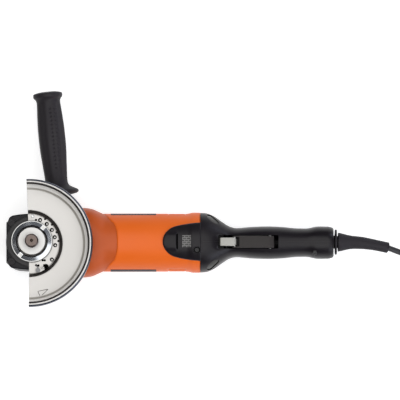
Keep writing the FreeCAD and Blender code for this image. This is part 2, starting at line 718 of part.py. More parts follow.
def armature_windings():
    """The end turns of the winding, one bundle at each end of the stack."""
    ends = []
    for x0, x1 in ((CORE_X0 - 7.0, CORE_X0 - 0.1), (CORE_X1 + 0.1, CORE_X1 + 8.0)):
        ends.append(ring_x(14.2, SHAFT_R + 0.02, x0, x1))
    return group(ends)


def commutator():
    """The commutator, cut into segments."""
    drum = ring_x(COMMUTATOR_R, SHAFT_R + 0.02, 131.5, 148.0).fuse(ring_x(12.6, SHAFT_R + 0.02, 131.0, 133.0))
    cuts = []
    for i in range(24):
        cut = block(133.5, 149.0, -0.25, 0.25, 9.3, 11.5)
        cut.rotate(Vector(0, 0, 0), X_AXIS, 15 * i)
        cut.translate(Vector(0, 0, MOTOR_Z))
        cuts.append(cut)
    return drum.cut(cuts)


def cooling_fan():
    """The fan behind the front bearing: a back plate, a hub and radial blades."""
    parts = [ring_x(26.5, SHAFT_R + 0.02, 60.4, 62.0), ring_x(9.0, SHAFT_R + 0.02, 50.5, 62.0)]
    for i in range(11):
        blade = block(52.0, 61.0, -0.7, 0.7, 8.0, 26.3)
        blade.rotate(Vector(0, 0, 17), X_AXIS, 14)
        blade.rotate(Vector(0, 0, 0), X_AXIS, i * 360.0 / 11)
        blade.translate(Vector(0, 0, MOTOR_Z))
        parts.append(blade.common(ring_x(26.5, SHAFT_R + 0.5, 50, 64)))
    return parts[0].fuse(parts[1:]).removeSplitter()


def brush_holders():
    """Two brass boxes, one each side of the commutator."""
    holders = []
    for side in (1, -1):
        outer = block(BRUSH_X - 6.2, BRUSH_X + 6.2, 13.0, 26.5, MOTOR_Z - 4.2, MOTOR_Z + 4.2)
        inner = block(BRUSH_X - 5.2, BRUSH_X + 5.2, 12.0, 25.6, MOTOR_Z - 3.2, MOTOR_Z + 3.2)
        holders.append(mirrored(outer.cut(inner), side))
    return group(holders)


def carbon_brushes():
    """Two carbon brushes, a hair off the commutator."""
    brushes = []
    for side in (1, -1):
        brush = block(BRUSH_X - 5.0, BRUSH_X + 5.0, COMMUTATOR_R + 0.1, 22.0, MOTOR_Z - 3.0, MOTOR_Z + 3.0)
        brushes.append(mirrored(brush, side))
    return group(brushes)


def mirrored(shape, side):
    """The shape itself on the +Y side, or its mirror image on the -Y side."""
    if side == 1:
        return shape
    return shape.mirror(Vector(0, 0, 0), Y_AXIS)


# ---- rear handle ------------------------------------------------------------------------------------
def handle_form(inset, x0=None, x1=None):
    """The rear handle's smooth form, shrunk by inset all round and cut between two places along X."""
    wires = []
    for x, half, low, high in HANDLE_SECTIONS:
        wires.append(section(x, half - inset, low + inset, high - inset, HANDLE_SQUARE))
    form = Part.makeLoft(wires, True, False)
    if x0 is None:
        return form
    return form.common(block(x0, x1, -50, 50, -20, 90))


def vent_cutter(side):
    """The window in the shoulder of the handle, on one side."""
    outline = [Vector(x, side * y, VENT_LOW) for x, y in VENT_OUTLINE]
    return extrude(outline, Vector(0, 0, VENT_TOP - VENT_LOW))


def handle_blank():
    """The hollow handle with its paddle slot, cord hole and vent windows, before it is split."""
    shell = handle_form(0).cut(handle_form(HANDLE_WALL, 178.5, 316.6))
    shell = shell.cut(cyl_x(BARREL_BORE - 0.6, 170, 178.6))
    shell = shell.cut(round_edges(block(SLOT_X0, SLOT_X1, -SLOT_HALF, SLOT_HALF, 42, 80), 2.5, Z_AXIS))
    shell = shell.cut(cyl_x(7.2, 310, 330))
    for side in (1, -1):
        shell = shell.cut(vent_cutter(side))
    return shell


def shell_bosses():
    """Posts inside the handle that its screws and the paddle's pin go through."""
    posts = []
    for x, z in shell_screw_places():
        posts.append(cyl_y(4.2, -13.0, 13.0, x, z))
    for side in (1, -1):
        post = cyl_y(3.4, SLOT_HALF + 0.4, 13.4, PADDLE_HINGE.x, PADDLE_HINGE.z)
        posts.append(mirrored(post, side))
    return posts


def shell_screw_places():
    """Where the screws cross the handle, as (x, z)."""
    return [(206.5, 17.5), (268.0, 21.0), (306.0, 19.5)]


def handle_shells():
    """Left and right halves, split along the middle."""
    blank = handle_blank().fuse(shell_bosses())
    for x, z in shell_screw_places():
        blank = blank.cut(cyl_y(1.6, -30, 30, x, z))
        blank = blank.cut(cyl_y(3.2, 10.6, 30, x, z))
    blank = blank.cut(cyl_y(1.55, -12.2, 12.2, PADDLE_HINGE.x, PADDLE_HINGE.z))
    left = blank.common(block(150, 350, 0.02, 60, -20, 90))
    right = blank.common(block(150, 350, -60, -0.02, -20, 90))
    return largest(left), largest(right)


def largest(shape):
    """The largest solid of a shape."""
    return sorted(shape.Solids, key=lambda solid: solid.Volume)[-1]


def handle_screws():
    """The screws that clamp the two shells."""
    screws = []
    for x, z in shell_screw_places():
        screws.append(cap_screw(1.5, 3.0, 2.2, 20.5, Vector(x, 10.7, z), Y_AXIS))
    return group(screws)


def cover_outline(z):
    """The tongue's plan: a long D with its round end to the front."""
    back = Vector(178.0, -20.6, z)
    front_low = Vector(158.0, -17.6, z)
    tip = Vector(138.8, 0, z)
    front_high = Vector(158.0, 17.6, z)
    edges = [Part.Arc(back, Vector(169.0, -19.6, z), front_low).toShape(),
             Part.Arc(front_low, Vector(144.2, -11.4, z), Vector(138.8, 0, z)).toShape(),
             Part.Arc(tip, Vector(144.2, 11.4, z), front_high).toShape(),
             Part.Arc(front_high, Vector(169.0, 19.6, z), Vector(178.0, 20.6, z)).toShape(),
             Part.LineSegment(Vector(178.0, 20.6, z), back).toShape()]
    return Part.Face(Part.Wire(edges))


def control_cover():
    """The black tongue over the end of the barrel, curved to lie on it, with a sunk screw seat."""
    skin = ring_x(COVER_OUTER_R, COVER_INNER_R, 137, 176.9)
    seat = cyl_z(4.4, 61.6, 63.4, *COVER_SCREW).common(ring_x(36, COVER_INNER_R, 160, 176.9))
    cover = cover_outline(40).extrude(Vector(0, 0, 40)).common(skin)
    cover = cover.cut(cyl_z(3.6, 62, 80, *COVER_SCREW)).fuse(seat)
    return cover.cut(cyl_z(1.7, 50, 80, *COVER_SCREW))


def cover_screw():
    """The sunk screw in the control cover."""
    return cap_screw(1.6, 3.0, 1.5, 1.4, Vector(*COVER_SCREW, 63.8), Z_AXIS)


def vent_grilles():
    """Louvres that fill the handle's two shoulder windows."""
    grilles = []
    for side in (1, -1):
        grille = vent_cutter(side).common(handle_form(0.7)).cut(handle_form(2.5))
        for i in range(LOUVRES):
            low = VENT_LOW + 3.0 + LOUVRE_PITCH * i
            gap = block(187.6, 196.0, 10, 45, low, low + LOUVRE_PITCH / 2)
            grille = grille.cut(mirrored(gap, side))
        grilles.append(largest(grille))
    return group(grilles)


def electronics_module():
    """The speed and soft-start module, potted in its case."""
    case = round_edges(block(181.0, 203.0, -15.0, 15.0, 24.0, 40.0), 2.0, Z_AXIS)
    return case


def switch_body():
    """The mains switch, with a bore for its plunger."""
    body = block(217.0, 247.0, -9.0, 9.0, 19.0, 36.0)
    body = round_edges(body, 1.5, Z_AXIS)
    return body.cut(cyl_z(2.6, 27.0, 40, PLUNGER_X, 0))


def paddle():
    """The long paddle, forked at its front end round the lock-off lever."""
    profile = [Vector(PADDLE_X0, -20, 50.5), Vector(PADDLE_X0 + 1.5, -20, 47.0), Vector(236, -20, 47.0),
               Vector(246, -20, 41.0), Vector(255.0, -20, 41.0), Vector(PADDLE_X1, -20, 44.0),
               Vector(PADDLE_X1, -20, 55.6), Vector(252, -20, 57.0), Vector(236, -20, PADDLE_TOP + 0.4),
               Vector(220, -20, PADDLE_TOP), Vector(PADDLE_X0, -20, 56.2)]
    body = extrude(profile, Vector(0, 40, 0))
    plan = round_edges(block(PADDLE_X0 - 1, PADDLE_X1, -PADDLE_HALF, PADDLE_HALF, 30, 70), 1.5, Z_AXIS)
    body = body.common(plan)
    body = body.cut(block(200, 219.6, -LEVER_HALF - GAP, LEVER_HALF + GAP, 30, 70))
    body = body.cut(cyl_y(1.5 + RUN, -20, 20, PADDLE_HINGE.x, PADDLE_HINGE.z))
    return body.cut(cyl_y(1.0, -20, 20, LEVER_HINGE.x, LEVER_HINGE.z)).removeSplitter()


def paddle_pin():
    """The pin that the paddle turns on, held in both shells."""
    return cyl_y(1.5, -12.0, 12.0, PADDLE_HINGE.x, PADDLE_HINGE.z)


def lock_off_lever():
    """The light grey lever between the paddle's prongs."""
    profile = [Vector(LEVER_X0, -20, 54.2), Vector(LEVER_X0, -20, 56.6), Vector(LEVER_X0 + 1, -20, LEVER_TOP),
               Vector(213.0, -20, LEVER_TOP + 0.5), Vector(216.2, -20, 57.0), Vector(217.6, -20, 54.5),
               Vector(217.2, -20, 51.0), Vector(214.8, -20, 49.8), Vector(212.2, -20, 51.0),
               Vector(211.0, -20, 54.2)]
    lever = extrude(profile, Vector(0, 40, 0))
    lever = lever.common(round_edges(block(LEVER_X0, 218.0, -LEVER_HALF, LEVER_HALF, 40, 70), 1.6, Z_AXIS))
    return lever.cut(cyl_y(1.0 + RUN, -20, 20, LEVER_HINGE.x, LEVER_HINGE.z))


def lock_off_pin():
    """The lever's pin, across the paddle's prongs."""
    return cyl_y(0.98, -6.2, 6.2, LEVER_HINGE.x, LEVER_HINGE.z)


def cable_clamp():
    """The saddle that grips the cord inside the handle."""
    bar = block(297.0, 304.0, -10.0, 10.0, 34.5, 38.0)
    screws = [cyl_z(1.4, 26.0, 39.6, 300.5, side * 7.6) for side in (1, -1)]
    return bar.fuse(screws)


def cable_boot():
    """The rubber boot: anchor flange in the handle, collar outside it, and a drooping tapered sleeve."""
    x0 = BOOT_LINE[0][0]
    anchor = cyl_x(10.0, 312.0, 316.2, 0.0).fuse([cyl_x(6.9, 316.0, 321.0), cyl_x(13.4, 320.6, 323.0)])
    neck = cyl_x(6.2, 322.5, x0 + 1.0, 0.3)
    wires = []
    for i, (x, y, z, radius) in enumerate(BOOT_LINE):
        before = Vector(*BOOT_LINE[max(i - 1, 0)][:3])
        after = Vector(*BOOT_LINE[min(i + 1, len(BOOT_LINE) - 1)][:3])
        wires.append(Part.Wire([Part.makeCircle(radius, Vector(x, y, z), after - before)]))
    sleeve = Part.makeLoft(wires, True, False)
    return anchor.fuse([neck, sleeve])


# ---- cord -------------------------------------------------------------------------------------------
def cord_tube():
    """The two stretches of the cord that aren't coiled."""
    return group([cord_run(CORD_ROUTE, "cord"), cord_run(TAIL_ROUTE, "tail")])


def cord_coil():
    """The outer shape of the coil."""
    ring = ring_z(COIL_OUTER, COIL_INNER, COIL_LOW, COIL_HIGH, COIL_X, COIL_Y)
    return ring.makeFillet(2.9, ring.Edges)


def coil_tie():
    """The strap round the coil's turns, on the side away from the grinder."""
    outer = block(COIL_X - 8, COIL_X + 8, COIL_Y + COIL_INNER - 1.8, COIL_Y + COIL_OUTER + 1.4, 0, 31.8)
    inner = block(COIL_X - 9, COIL_X + 9, COIL_Y + COIL_INNER - 1.0, COIL_Y + COIL_OUTER + 0.2,
                  COIL_LOW - 0.05, 31.0)
    band = round_edges(outer, 3.6, X_AXIS)
    return band.cut(round_edges(inner, 2.8, X_AXIS))


def plug_section(y, half_x, half_z):
    """An oval wire across Y on the plug's axis."""
    points = []
    for i in range(16):
        turn = 2 * math.pi * i / 16
        across = math.copysign(abs(math.cos(turn)) ** 0.8, math.cos(turn))
        up = math.copysign(abs(math.sin(turn)) ** 0.8, math.sin(turn))
        points.append(Vector(PLUG_X + half_x * across, y, PLUG_Z + half_z * up))
    curve = Part.BSplineCurve()
    curve.interpolate(Points=points, PeriodicFlag=True)
    return Part.Wire([curve.toShape()])


def plug_body():
    """The moulded two-pin plug, flat side down."""
    sizes = [(0.0, 4.6, 4.6), (12.0, 6.0, 5.8), (22.0, 13.5, 9.6), (32.0, 17.6, 12.4),
             (PLUG_LENGTH, 17.6, 12.8)]
    wires = [plug_section(PLUG_Y0 + y, half_x, half_z) for y, half_x, half_z in sizes]
    body = Part.makeLoft(wires, True, False)
    for side in (1, -1):
        body = body.cut(cyl_y(2.45, PLUG_Y0 + PLUG_LENGTH - 10, PLUG_Y0 + 60, PLUG_X + side * 9.5, PLUG_Z))
    return body


def plug_pins():
    """Two round pins."""
    pins = []
    for side in (1, -1):
        x = PLUG_X + side * 9.5
        end = PLUG_Y0 + PLUG_LENGTH
        pin = cyl_y(2.4, end - 9.9, end + 17.0, x, PLUG_Z)
        pins.append(pin.fuse(Part.makeSphere(2.4, Vector(x, end + 17.0, PLUG_Z))).removeSplitter())
    return group(pins)


# ---- the whole object -------------------------------------------------------------------------------
def build():
    """Make every node."""
    button, pin, lock_spring = lock_parts()
    left, right = handle_shells()
    NODES.update({
        "gear_housing": gear_housing(),
        "bearing_flange": bearing_flange(),
        "flange_screws": flange_screws(),
        "spindle": spindle(),
        "crown_gear": crown_gear(),
        "pinion_gear": pinion_gear(),
        "spindle_bearing_outer": race_z(16.0, 13.1, BEARING_Z, BEARING_Z + 10, 11.0, 2.9 + RUN),
        "spindle_bearing_inner": race_z(8.9, 6.02, BEARING_Z, BEARING_Z + 10, 11.0, 2.9 + RUN),
        "spindle_bearing_balls": balls_z(7, 2.9, 11.0, BEARING_Z + 5),
        "spindle_needle_bush": ring_z(9.0, SHAFT_END_R + RUN, 8.0, 19.8),
        "bearing_retainer_ring": retainer_ring(),
        "dust_seal": ring_z(14.9, 9.0 + GAP, 62.0, 65.5),
        "support_flange": support_flange(),
        "lock_button": button,
        "lock_pin": pin,
        "lock_spring": lock_spring,
        "guard_shell": guard_shell(),
        "guard_index_ring": guard_index_ring(),
        "guard_latch": guard_latch(),
        "guard_latch_pin": guard_latch_pin(),
        "side_handle_grip": side_handle_grip(),
        "side_handle_stud": side_handle_stud(),
        "motor_housing": motor_housing(),
        "housing_screws": housing_screws(),
        "stator_core": stator_core(),
        "stator_coils": stator_coils(),
        "armature_shaft": armature_shaft(),
        "armature_core": armature_core(),
        "armature_windings": armature_windings(),
        "commutator": commutator(),
        "cooling_fan": cooling_fan(),
        "front_bearing_outer": race_x(13.0, 10.9, 30.0, 38.0, 9.0, 2.4 + RUN),
        "front_bearing_inner": inner_race_with_balls(7.2, SHAFT_R + 0.02, 30.0, 38.0, 9.0, 2.4, 8),
        "rear_bearing_outer": race_x(11.0, 9.1, 158.0, 165.0, 7.5, 2.0 + RUN),
        "rear_bearing_inner": inner_race_with_balls(5.9, SHAFT_END_R + 0.02, 158.0, 165.0, 7.5, 2.0, 7),
        "rear_bearing_sleeve": ring_x(13.6, 11.1, 157.6, 165.4),
        "baffle_ring": ring_x(28.2, 17.5, 63.6, 65.4),
        "brush_holders": brush_holders(),
        "carbon_brushes": carbon_brushes(),
        "handle_shell_left": left,
        "handle_shell_right": right,
        "handle_screws": handle_screws(),
        "control_cover": control_cover(),
        "cover_screw": cover_screw(),
        "vent_grilles": vent_grilles(),
        "electronics_module": electronics_module(),
        "switch_body": switch_body(),
        "switch_plunger": cyl_z(2.5, 30.0, PLUNGER_TOP, PLUNGER_X, 0),
        "paddle": paddle(),
        "paddle_pin": paddle_pin(),
        "paddle_spring": spring_z(2.6, 0.5, 36.1, 46.8, 6, SPRING_X),
        "lock_off_lever": lock_off_lever(),
        "lock_off_pin": lock_off_pin(),
        "cable_clamp": cable_clamp(),
        "cable_boot": cable_boot(),
        "cord_tube": cord_tube(),
        "cord_coil": cord_coil(),
        "coil_tie": coil_tie(),
        "plug_body": plug_body(),
        "plug_pins": plug_pins(),
    })


def write_parts():
    """Write one STEP file per node."""
    os.makedirs("parts", exist_ok=True)
    for name, shape in NODES.items():
        box = shape.BoundBox
        state = "ok" if shape.isValid() else "NOT VALID"
        print(name, len(shape.Solids), state, round(shape.Volume), "z", round(box.ZMin, 2), round(box.ZMax, 2))
        shape.exportStep("parts/" + name + ".step")


build()
write_parts()
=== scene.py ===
import math

import bmesh
import bpy
import numpy as np
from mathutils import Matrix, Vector


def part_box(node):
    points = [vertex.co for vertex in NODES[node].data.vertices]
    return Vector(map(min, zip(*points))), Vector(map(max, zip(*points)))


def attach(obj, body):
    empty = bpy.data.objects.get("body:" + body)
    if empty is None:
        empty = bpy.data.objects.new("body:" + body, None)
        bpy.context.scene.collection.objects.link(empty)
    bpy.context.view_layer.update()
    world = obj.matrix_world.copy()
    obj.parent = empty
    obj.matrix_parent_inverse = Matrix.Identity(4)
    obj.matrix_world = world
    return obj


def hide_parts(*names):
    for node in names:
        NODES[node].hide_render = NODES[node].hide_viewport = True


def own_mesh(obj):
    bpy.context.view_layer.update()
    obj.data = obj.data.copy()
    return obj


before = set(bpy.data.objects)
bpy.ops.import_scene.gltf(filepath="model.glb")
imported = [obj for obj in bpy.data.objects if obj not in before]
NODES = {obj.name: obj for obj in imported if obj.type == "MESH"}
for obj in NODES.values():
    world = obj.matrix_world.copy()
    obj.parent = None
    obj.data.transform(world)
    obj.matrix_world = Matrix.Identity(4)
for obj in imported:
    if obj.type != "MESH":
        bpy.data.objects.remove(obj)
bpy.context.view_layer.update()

# The pieces are worked out in millimetres and set into their meshes in metres.
MM = 0.001


def span(node):
    """Lowest and highest corner of a CAD node, in millimetres."""
    low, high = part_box(node)
    return np.array(low) / MM, np.array(high) / MM


def middle(node):
    """Centre of a CAD node's box, in millimetres."""
    low, high = span(node)
    return (low + high) / 2


# ---- places and sizes, from the frame ---------------------------------------------------------------
AXIS_Z = middle("armature_shaft")[2]
HEAD_LOW, HEAD_HIGH = span("bearing_flange")
HEAD_SCREW_X, HEAD_SCREW_Y = 21.7, 20.6
NECK_R = 21.6
SEAT_LOW, SEAT_HIGH = span("support_flange")
SEAT_R = (SEAT_HIGH[0] - SEAT_LOW[0]) / 2
SPINDLE_TOP = span("spindle")[1][2]
SPINDLE_R = 7.0
GUARD_LOW, GUARD_HIGH = span("guard_shell")
GUARD_X, GUARD_Y = -2.8, -2.4
GUARD_TURN = math.radians(1.1)
GUARD_HALF = math.radians(91.2)      # how far the guard reaches each way
GUARD_R = 67.6
SHEET = 1.6
STEP_R = 35.0                        # where the plate steps up
SLOPE_R0, SLOPE_R1 = 57.0, 59.6      # the shallow slope before the rim
PLATE_Z = GUARD_LOW[2] + 6.0
BODY_X0 = span("motor_housing")[0][0]
SEAM_X = span("motor_housing")[1][0] + 1.7      # where the orange meets the black handle
BARREL_R = 30.7
BULGE_R = AXIS_Z - span("motor_housing")[0][2]
BULGE_X0, BULGE_LENGTH = 164.0, 7.0  # where the barrel swells from one radius to the other
LABEL_X0, LABEL_X1 = 83.3, 131.5
LABEL_HALF = math.radians(20)
HANDLE_X1 = span("handle_shell_left")[1][0]
PADDLE_LOW, PADDLE_HIGH = span("paddle")
LEVER_LOW, LEVER_HIGH = span("lock_off_lever")
GRIP_BASE = np.array([26.8, 53.8, 26.0])
GRIP_TILT = math.radians(5.8)
COVER_SCREW = (174.7, -9.0)
COVER_SCREW_Z = AXIS_Z + math.sqrt(BULGE_R**2 - COVER_SCREW[1] ** 2)
HANDLE_SCREW = (299.3, -11.6)
CORD_D = 6.0

# The handle's sections, as in the CAD: place along X, half width, underside, top
HANDLE_SECTIONS = np.array([
    (177.0, 31.7, 0.5, 63.5), (185.0, 31.0, 1.2, 62.6), (192.5, 28.0, 3.6, 60.6), (201.5, 21.8, 7.2, 57.6),
    (209.0, 17.2, 9.2, 55.6), (217.0, 15.5, 10.2, 54.6), (232.0, 16.7, 10.2, 54.4), (249.0, 17.2, 10.0, 54.4),
    (265.0, 16.6, 10.8, 54.0), (283.0, 15.1, 12.2, 53.0), (292.0, 15.2, 12.6, 52.6),
    (301.0, 17.0, 12.0, 53.4), (313.0, 17.1, 12.0, 53.4), (319.4, 15.6, 13.4, 52.0)])
# The housing's flare, as in the CAD: place along X, half width, underside, top, exponent
FLARE_SECTIONS = np.array([
    (48.4, 36.8, 0.6, 61.8, 3.2), (57.0, 36.7, 0.8, 62.0, 3.0), (64.5, 35.4, 1.0, 62.2, 2.8),
    (70.5, 33.0, 1.3, 62.3, 2.5), (77.0, 30.6, 1.8, 62.3, 2.1), (90.0, 30.2, 2.0, 62.0, 2.0)])
# The fold where the flare runs under the barrel: sine of the angle up the barrel, place along X
FOLD_SINES = [0, 0.59, 0.77, 0.97, 1]
FOLD_PLACES = [75.0, 81.6, 86.6, 89.6, 89.9]

# The cord's route, as in the CAD, and its coil
CORD_ROUTE = [(377.0, -5.0, 23.0), (389.5, -9.4, 18.3), (402.0, -14.2, 12.6), (415.5, -18.2, 6.4),
              (430.0, -20.6, 3.6), (444.0, -20.9, 3.8)]
TAIL_ROUTE = [(500.9, 27.0, 27.8), (501.2, 42.0, 27.4), (500.4, 57.0, 24.6), (499.4, 71.0, 19.4),
              (498.6, 84.0, 14.6), (498.2, 96.0, 13.2)]
COIL_X, COIL_Y = middle("cord_coil")[:2]
BOOT_LINE = np.array([(324.2, 0.6, 32.0, 10.3), (337.0, 0.4, 31.3, 7.3), (349.3, -0.2, 29.8, 6.5),
                      (363.0, -2.2, 27.0, 5.8), (377.0, -5.0, 23.0, 5.7)])


# ---- camera -----------------------------------------------------------------------------------------
def make_camera():
    """A long lens over the bench, leaning a little towards the grinder's free side."""
    distance, lean, width = 15000.0, math.radians(2.58), 424.0
    target = np.array([177.9, 45.3, AXIS_Z])
    back = np.array([0.0, -math.sin(lean), math.cos(lean)])
    data = bpy.data.cameras.new("camera")
    data.sensor_width = 36.0
    data.lens = data.sensor_width * distance / width
    data.clip_start = 0.1
    data.clip_end = 100.0
    camera = bpy.data.objects.new("camera", data)
    bpy.context.scene.collection.objects.link(camera)
    camera.location = Vector((target + back * distance) * MM)
    camera.rotation_mode = "QUATERNION"
    camera.rotation_quaternion = Vector(-back).to_track_quat("-Z", "Y")
    bpy.context.scene.camera = camera


# ---- shader groups ----------------------------------------------------------------------------------
def fill(node, values):
    """Set a shader node's inputs by name."""
    for label, value in values.items():
        node.inputs[label].default_value = value


def new_group(name, inputs):
    """A shader node group with float inputs (name, default) and the outputs Height and Shade."""
    group = bpy.data.node_groups.new(name, "ShaderNodeTree")
    for label, default in inputs:
        socket = group.interface.new_socket(label, in_out="INPUT", socket_type="NodeSocketFloat")
        socket.default_value = default
    for label in ("Height", "Shade"):
        group.interface.new_socket(label, in_out="OUTPUT", socket_type="NodeSocketFloat")
    enter = group.nodes.new("NodeGroupInput")
    leave = group.nodes.new("NodeGroupOutput")
    return group, enter, leave


def grain_group():
    """Moulded or painted grain: fine bumps, and a slow mottle for colour and gloss."""
    group, enter, leave = new_group("surface_grain", [("Fineness", 900.0), ("Mottle", 25.0)])
    place = group.nodes.new("ShaderNodeTexCoord")
    fine = group.nodes.new("ShaderNodeTexNoise")
    fill(fine, {"Detail": 3.0})
    slow = group.nodes.new("ShaderNodeTexNoise")
    fill(slow, {"Detail": 4.0})
    link = group.links.new
    link(place.outputs["Object"], fine.inputs["Vector"])
    link(place.outputs["Object"], slow.inputs["Vector"])
    link(enter.outputs["Fineness"], fine.inputs["Scale"])
    link(enter.outputs["Mottle"], slow.inputs["Scale"])
    link(fine.outputs["Fac"], leave.inputs["Height"])
    link(slow.outputs["Fac"], leave.inputs["Shade"])
    return group


def brush_group():
    """Brushing marks: noise drawn out along one axis."""
    group, enter, leave = new_group("brush_marks", [("Across", 900.0), ("Along", 12.0)])
    place = group.nodes.new("ShaderNodeTexCoord")
    scale = group.nodes.new("ShaderNodeCombineXYZ")
    stretch = group.nodes.new("ShaderNodeVectorMath")
    stretch.operation = "MULTIPLY"
    lines = group.nodes.new("ShaderNodeTexNoise")
    fill(lines, {"Scale": 1.0, "Detail": 4.0})
    cloud = group.nodes.new("ShaderNodeTexNoise")
    fill(cloud, {"Scale": 35.0})
    link = group.links.new
    link(enter.outputs["Across"], scale.inputs["Y"])
    link(enter.outputs["Across"], scale.inputs["Z"])
    link(enter.outputs["Along"], scale.inputs["X"])
    link(place.outputs["Object"], stretch.inputs[0])
    link(scale.outputs["Vector"], stretch.inputs[1])
    link(stretch.outputs["Vector"], lines.inputs["Vector"])
    link(place.outputs["Object"], cloud.inputs["Vector"])
    link(lines.outputs["Fac"], leave.inputs["Height"])
    link(cloud.outputs["Fac"], leave.inputs["Shade"])
    return group


GRAIN = grain_group()
BRUSH = brush_group()


def surface(name, dark, light, rough, metal=0.0, pattern=GRAIN, bump=0.1, reach=0.0002, gloss_swing=0.08,
            specular=0.5, **settings):
    """A material on one Principled shader: colour between two tones, gloss and bump from a shader group."""
    made = bpy.data.materials.new(name)
    made.use_nodes = True
    nodes = made.node_tree.nodes
    link = made.node_tree.links.new
    shader = nodes["Principled BSDF"]
    fill(shader, {"Metallic": metal, "Specular IOR Level": specular})
    effect = nodes.new("ShaderNodeGroup")
    effect.node_tree = pattern
    fill(effect, settings)
    tone = nodes.new("ShaderNodeMixRGB")
    fill(tone, {"Color1": (*dark, 1.0), "Color2": (*light, 1.0)})
    gloss = nodes.new("ShaderNodeMapRange")
    fill(gloss, {"From Min": 0.3, "From Max": 0.7,
                 "To Min": rough - gloss_swing, "To Max": rough + gloss_swing})
    relief = nodes.new("ShaderNodeBump")
    fill(relief, {"Strength": bump, "Distance": reach})
    link(effect.outputs["Shade"], tone.inputs["Fac"])
    link(tone.outputs["Color"], shader.inputs["Base Color"])
    link(effect.outputs["Shade"], gloss.inputs["Value"])
    link(gloss.outputs["Result"], shader.inputs["Roughness"])
    link(effect.outputs["Height"], relief.inputs["Height"])
    link(relief.outputs["Normal"], shader.inputs["Normal"])
    return made


def symbol_finish():
    """Printed generic marks: pale bars and a frame on a dark grey plate."""
    made = surface("symbol_print", (0.05, 0.048, 0.048), (0.07, 0.066, 0.066), 0.4, bump=0.05)
    nodes = made.node_tree.nodes
    link = made.node_tree.links.new
    place = nodes.new("ShaderNodeTexCoord")
    bars = nodes.new("ShaderNodeTexBrick")
    fill(bars, {"Scale": 1.0, "Brick Width": 0.0042, "Row Height": 0.0021, "Mortar Size": 0.00024,
                "Color1": (0.016, 0.015, 0.015, 1.0), "Color2": (0.050, 0.048, 0.047, 1.0),
                "Mortar": (0.17, 0.165, 0.16, 1.0)})
    link(place.outputs["Object"], bars.inputs["Vector"])
    link(bars.outputs["Color"], nodes["Principled BSDF"].inputs["Base Color"])
    return made


ORANGE = surface("orange_shell", (0.74, 0.128, 0.012), (0.79, 0.140, 0.015), 0.42, bump=0.12,
                 Fineness=1400.0, specular=0.22)
# Painted shade: a darker copy of the barrel's orange for the flare, which tilts away from the light.
SHADED_FLARE_ORANGE = surface("flare_orange_painted_shade", (0.47, 0.081, 0.014), (0.52, 0.091, 0.017), 0.42, bump=0.12,
                       Fineness=1400.0, specular=0.22)
BLACK = surface("black_moulding", (0.0065, 0.0050, 0.0070), (0.0090, 0.0072, 0.0096), 0.36, bump=0.2,
                Fineness=1300.0, specular=0.22)
SOFT_BLACK = surface("soft_grip_black", (0.014, 0.012, 0.015), (0.020, 0.017, 0.021), 0.58, bump=0.35,
                     Fineness=1100.0, specular=0.25)
PADDLE_GREY = surface("paddle_moulding", (0.018, 0.015, 0.014), (0.025, 0.021, 0.020), 0.5, bump=0.25,
                      Fineness=1200.0, specular=0.25)
LEVER_GREY = surface("lever_grey", (0.34, 0.34, 0.31), (0.43, 0.42, 0.385), 0.45, bump=0.1)
HEAD_PAINT = surface("head_paint", (0.006, 0.006, 0.008), (0.010, 0.010, 0.012), 0.40, bump=0.3,
                     Fineness=1500.0, specular=0.16)
BOSS_PAINT = surface("boss_paint", (0.026, 0.025, 0.026), (0.038, 0.037, 0.037), 0.45, bump=0.25,
                     specular=0.25)
GUARD_STEEL = surface("guard_steel", (0.54, 0.525, 0.505), (0.61, 0.595, 0.575), 0.42, metal=0.35,
                      pattern=BRUSH, bump=0.12, reach=0.0001, gloss_swing=0.05, Across=700.0, Along=30.0)
# Painted reflection: dark bluish steel for the guard's rolled outer edge.
EDGE_DARK_REFLECTION = surface("rolled_edge_painted_dark_reflection", (0.045, 0.050, 0.068), (0.085, 0.092, 0.115), 0.26, metal=0.9,
                    pattern=BRUSH, bump=0.08, reach=0.0001)
ROLLED_SHADE = surface("rolled_shade_steel", (0.30, 0.28, 0.25), (0.38, 0.36, 0.33), 0.45, metal=0.35,
                       pattern=BRUSH, bump=0.08, reach=0.0001)
STEP_SHADE = surface("shaded_step_steel", (0.035, 0.030, 0.028), (0.07, 0.06, 0.055), 0.5, metal=0.6,
                     bump=0.05)
BRIGHT = surface("polished_ring", (0.62, 0.64, 0.67), (0.74, 0.76, 0.79), 0.18, metal=1.0, bump=0.0,
                 gloss_swing=0.02)
GROUND = surface("ground_steel", (0.64, 0.63, 0.61), (0.72, 0.71, 0.69), 0.5, metal=0.3, bump=0.06)
BLACK_OXIDE = surface("black_oxide_steel", (0.020, 0.020, 0.021), (0.034, 0.034, 0.035), 0.35, metal=0.5,
                      bump=0.05)
SPINDLE_STEEL = surface("turned_spindle_steel", (0.098, 0.077, 0.068), (0.155, 0.123, 0.112), 0.34, metal=0.9,
                        bump=0.05)
DARK_STEEL = surface("dark_steel", (0.10, 0.10, 0.105), (0.18, 0.18, 0.185), 0.35, metal=1.0, bump=0.05)
PLAIN_STEEL = surface("plain_steel", (0.42, 0.42, 0.42), (0.55, 0.55, 0.54), 0.3, metal=1.0, bump=0.04)
COPPER = surface("enamelled_copper", (0.42, 0.15, 0.05), (0.56, 0.22, 0.08), 0.35, metal=0.8, bump=0.4)
BRASS = surface("brush_box_brass", (0.55, 0.40, 0.14), (0.65, 0.48, 0.18), 0.3, metal=1.0, bump=0.05)
LAMINATED = surface("sheet_stack", (0.14, 0.13, 0.13), (0.22, 0.21, 0.20), 0.45, metal=0.8, bump=0.2)
FELT = surface("felt", (0.10, 0.09, 0.08), (0.16, 0.15, 0.13), 0.95, bump=0.8)
WHITE_PLASTIC = surface("pale_moulding", (0.62, 0.61, 0.57), (0.70, 0.69, 0.65), 0.5, bump=0.1)
LABEL = surface("side_label", (0.010, 0.010, 0.017), (0.016, 0.016, 0.025), 0.42, bump=0.05, specular=0.12)
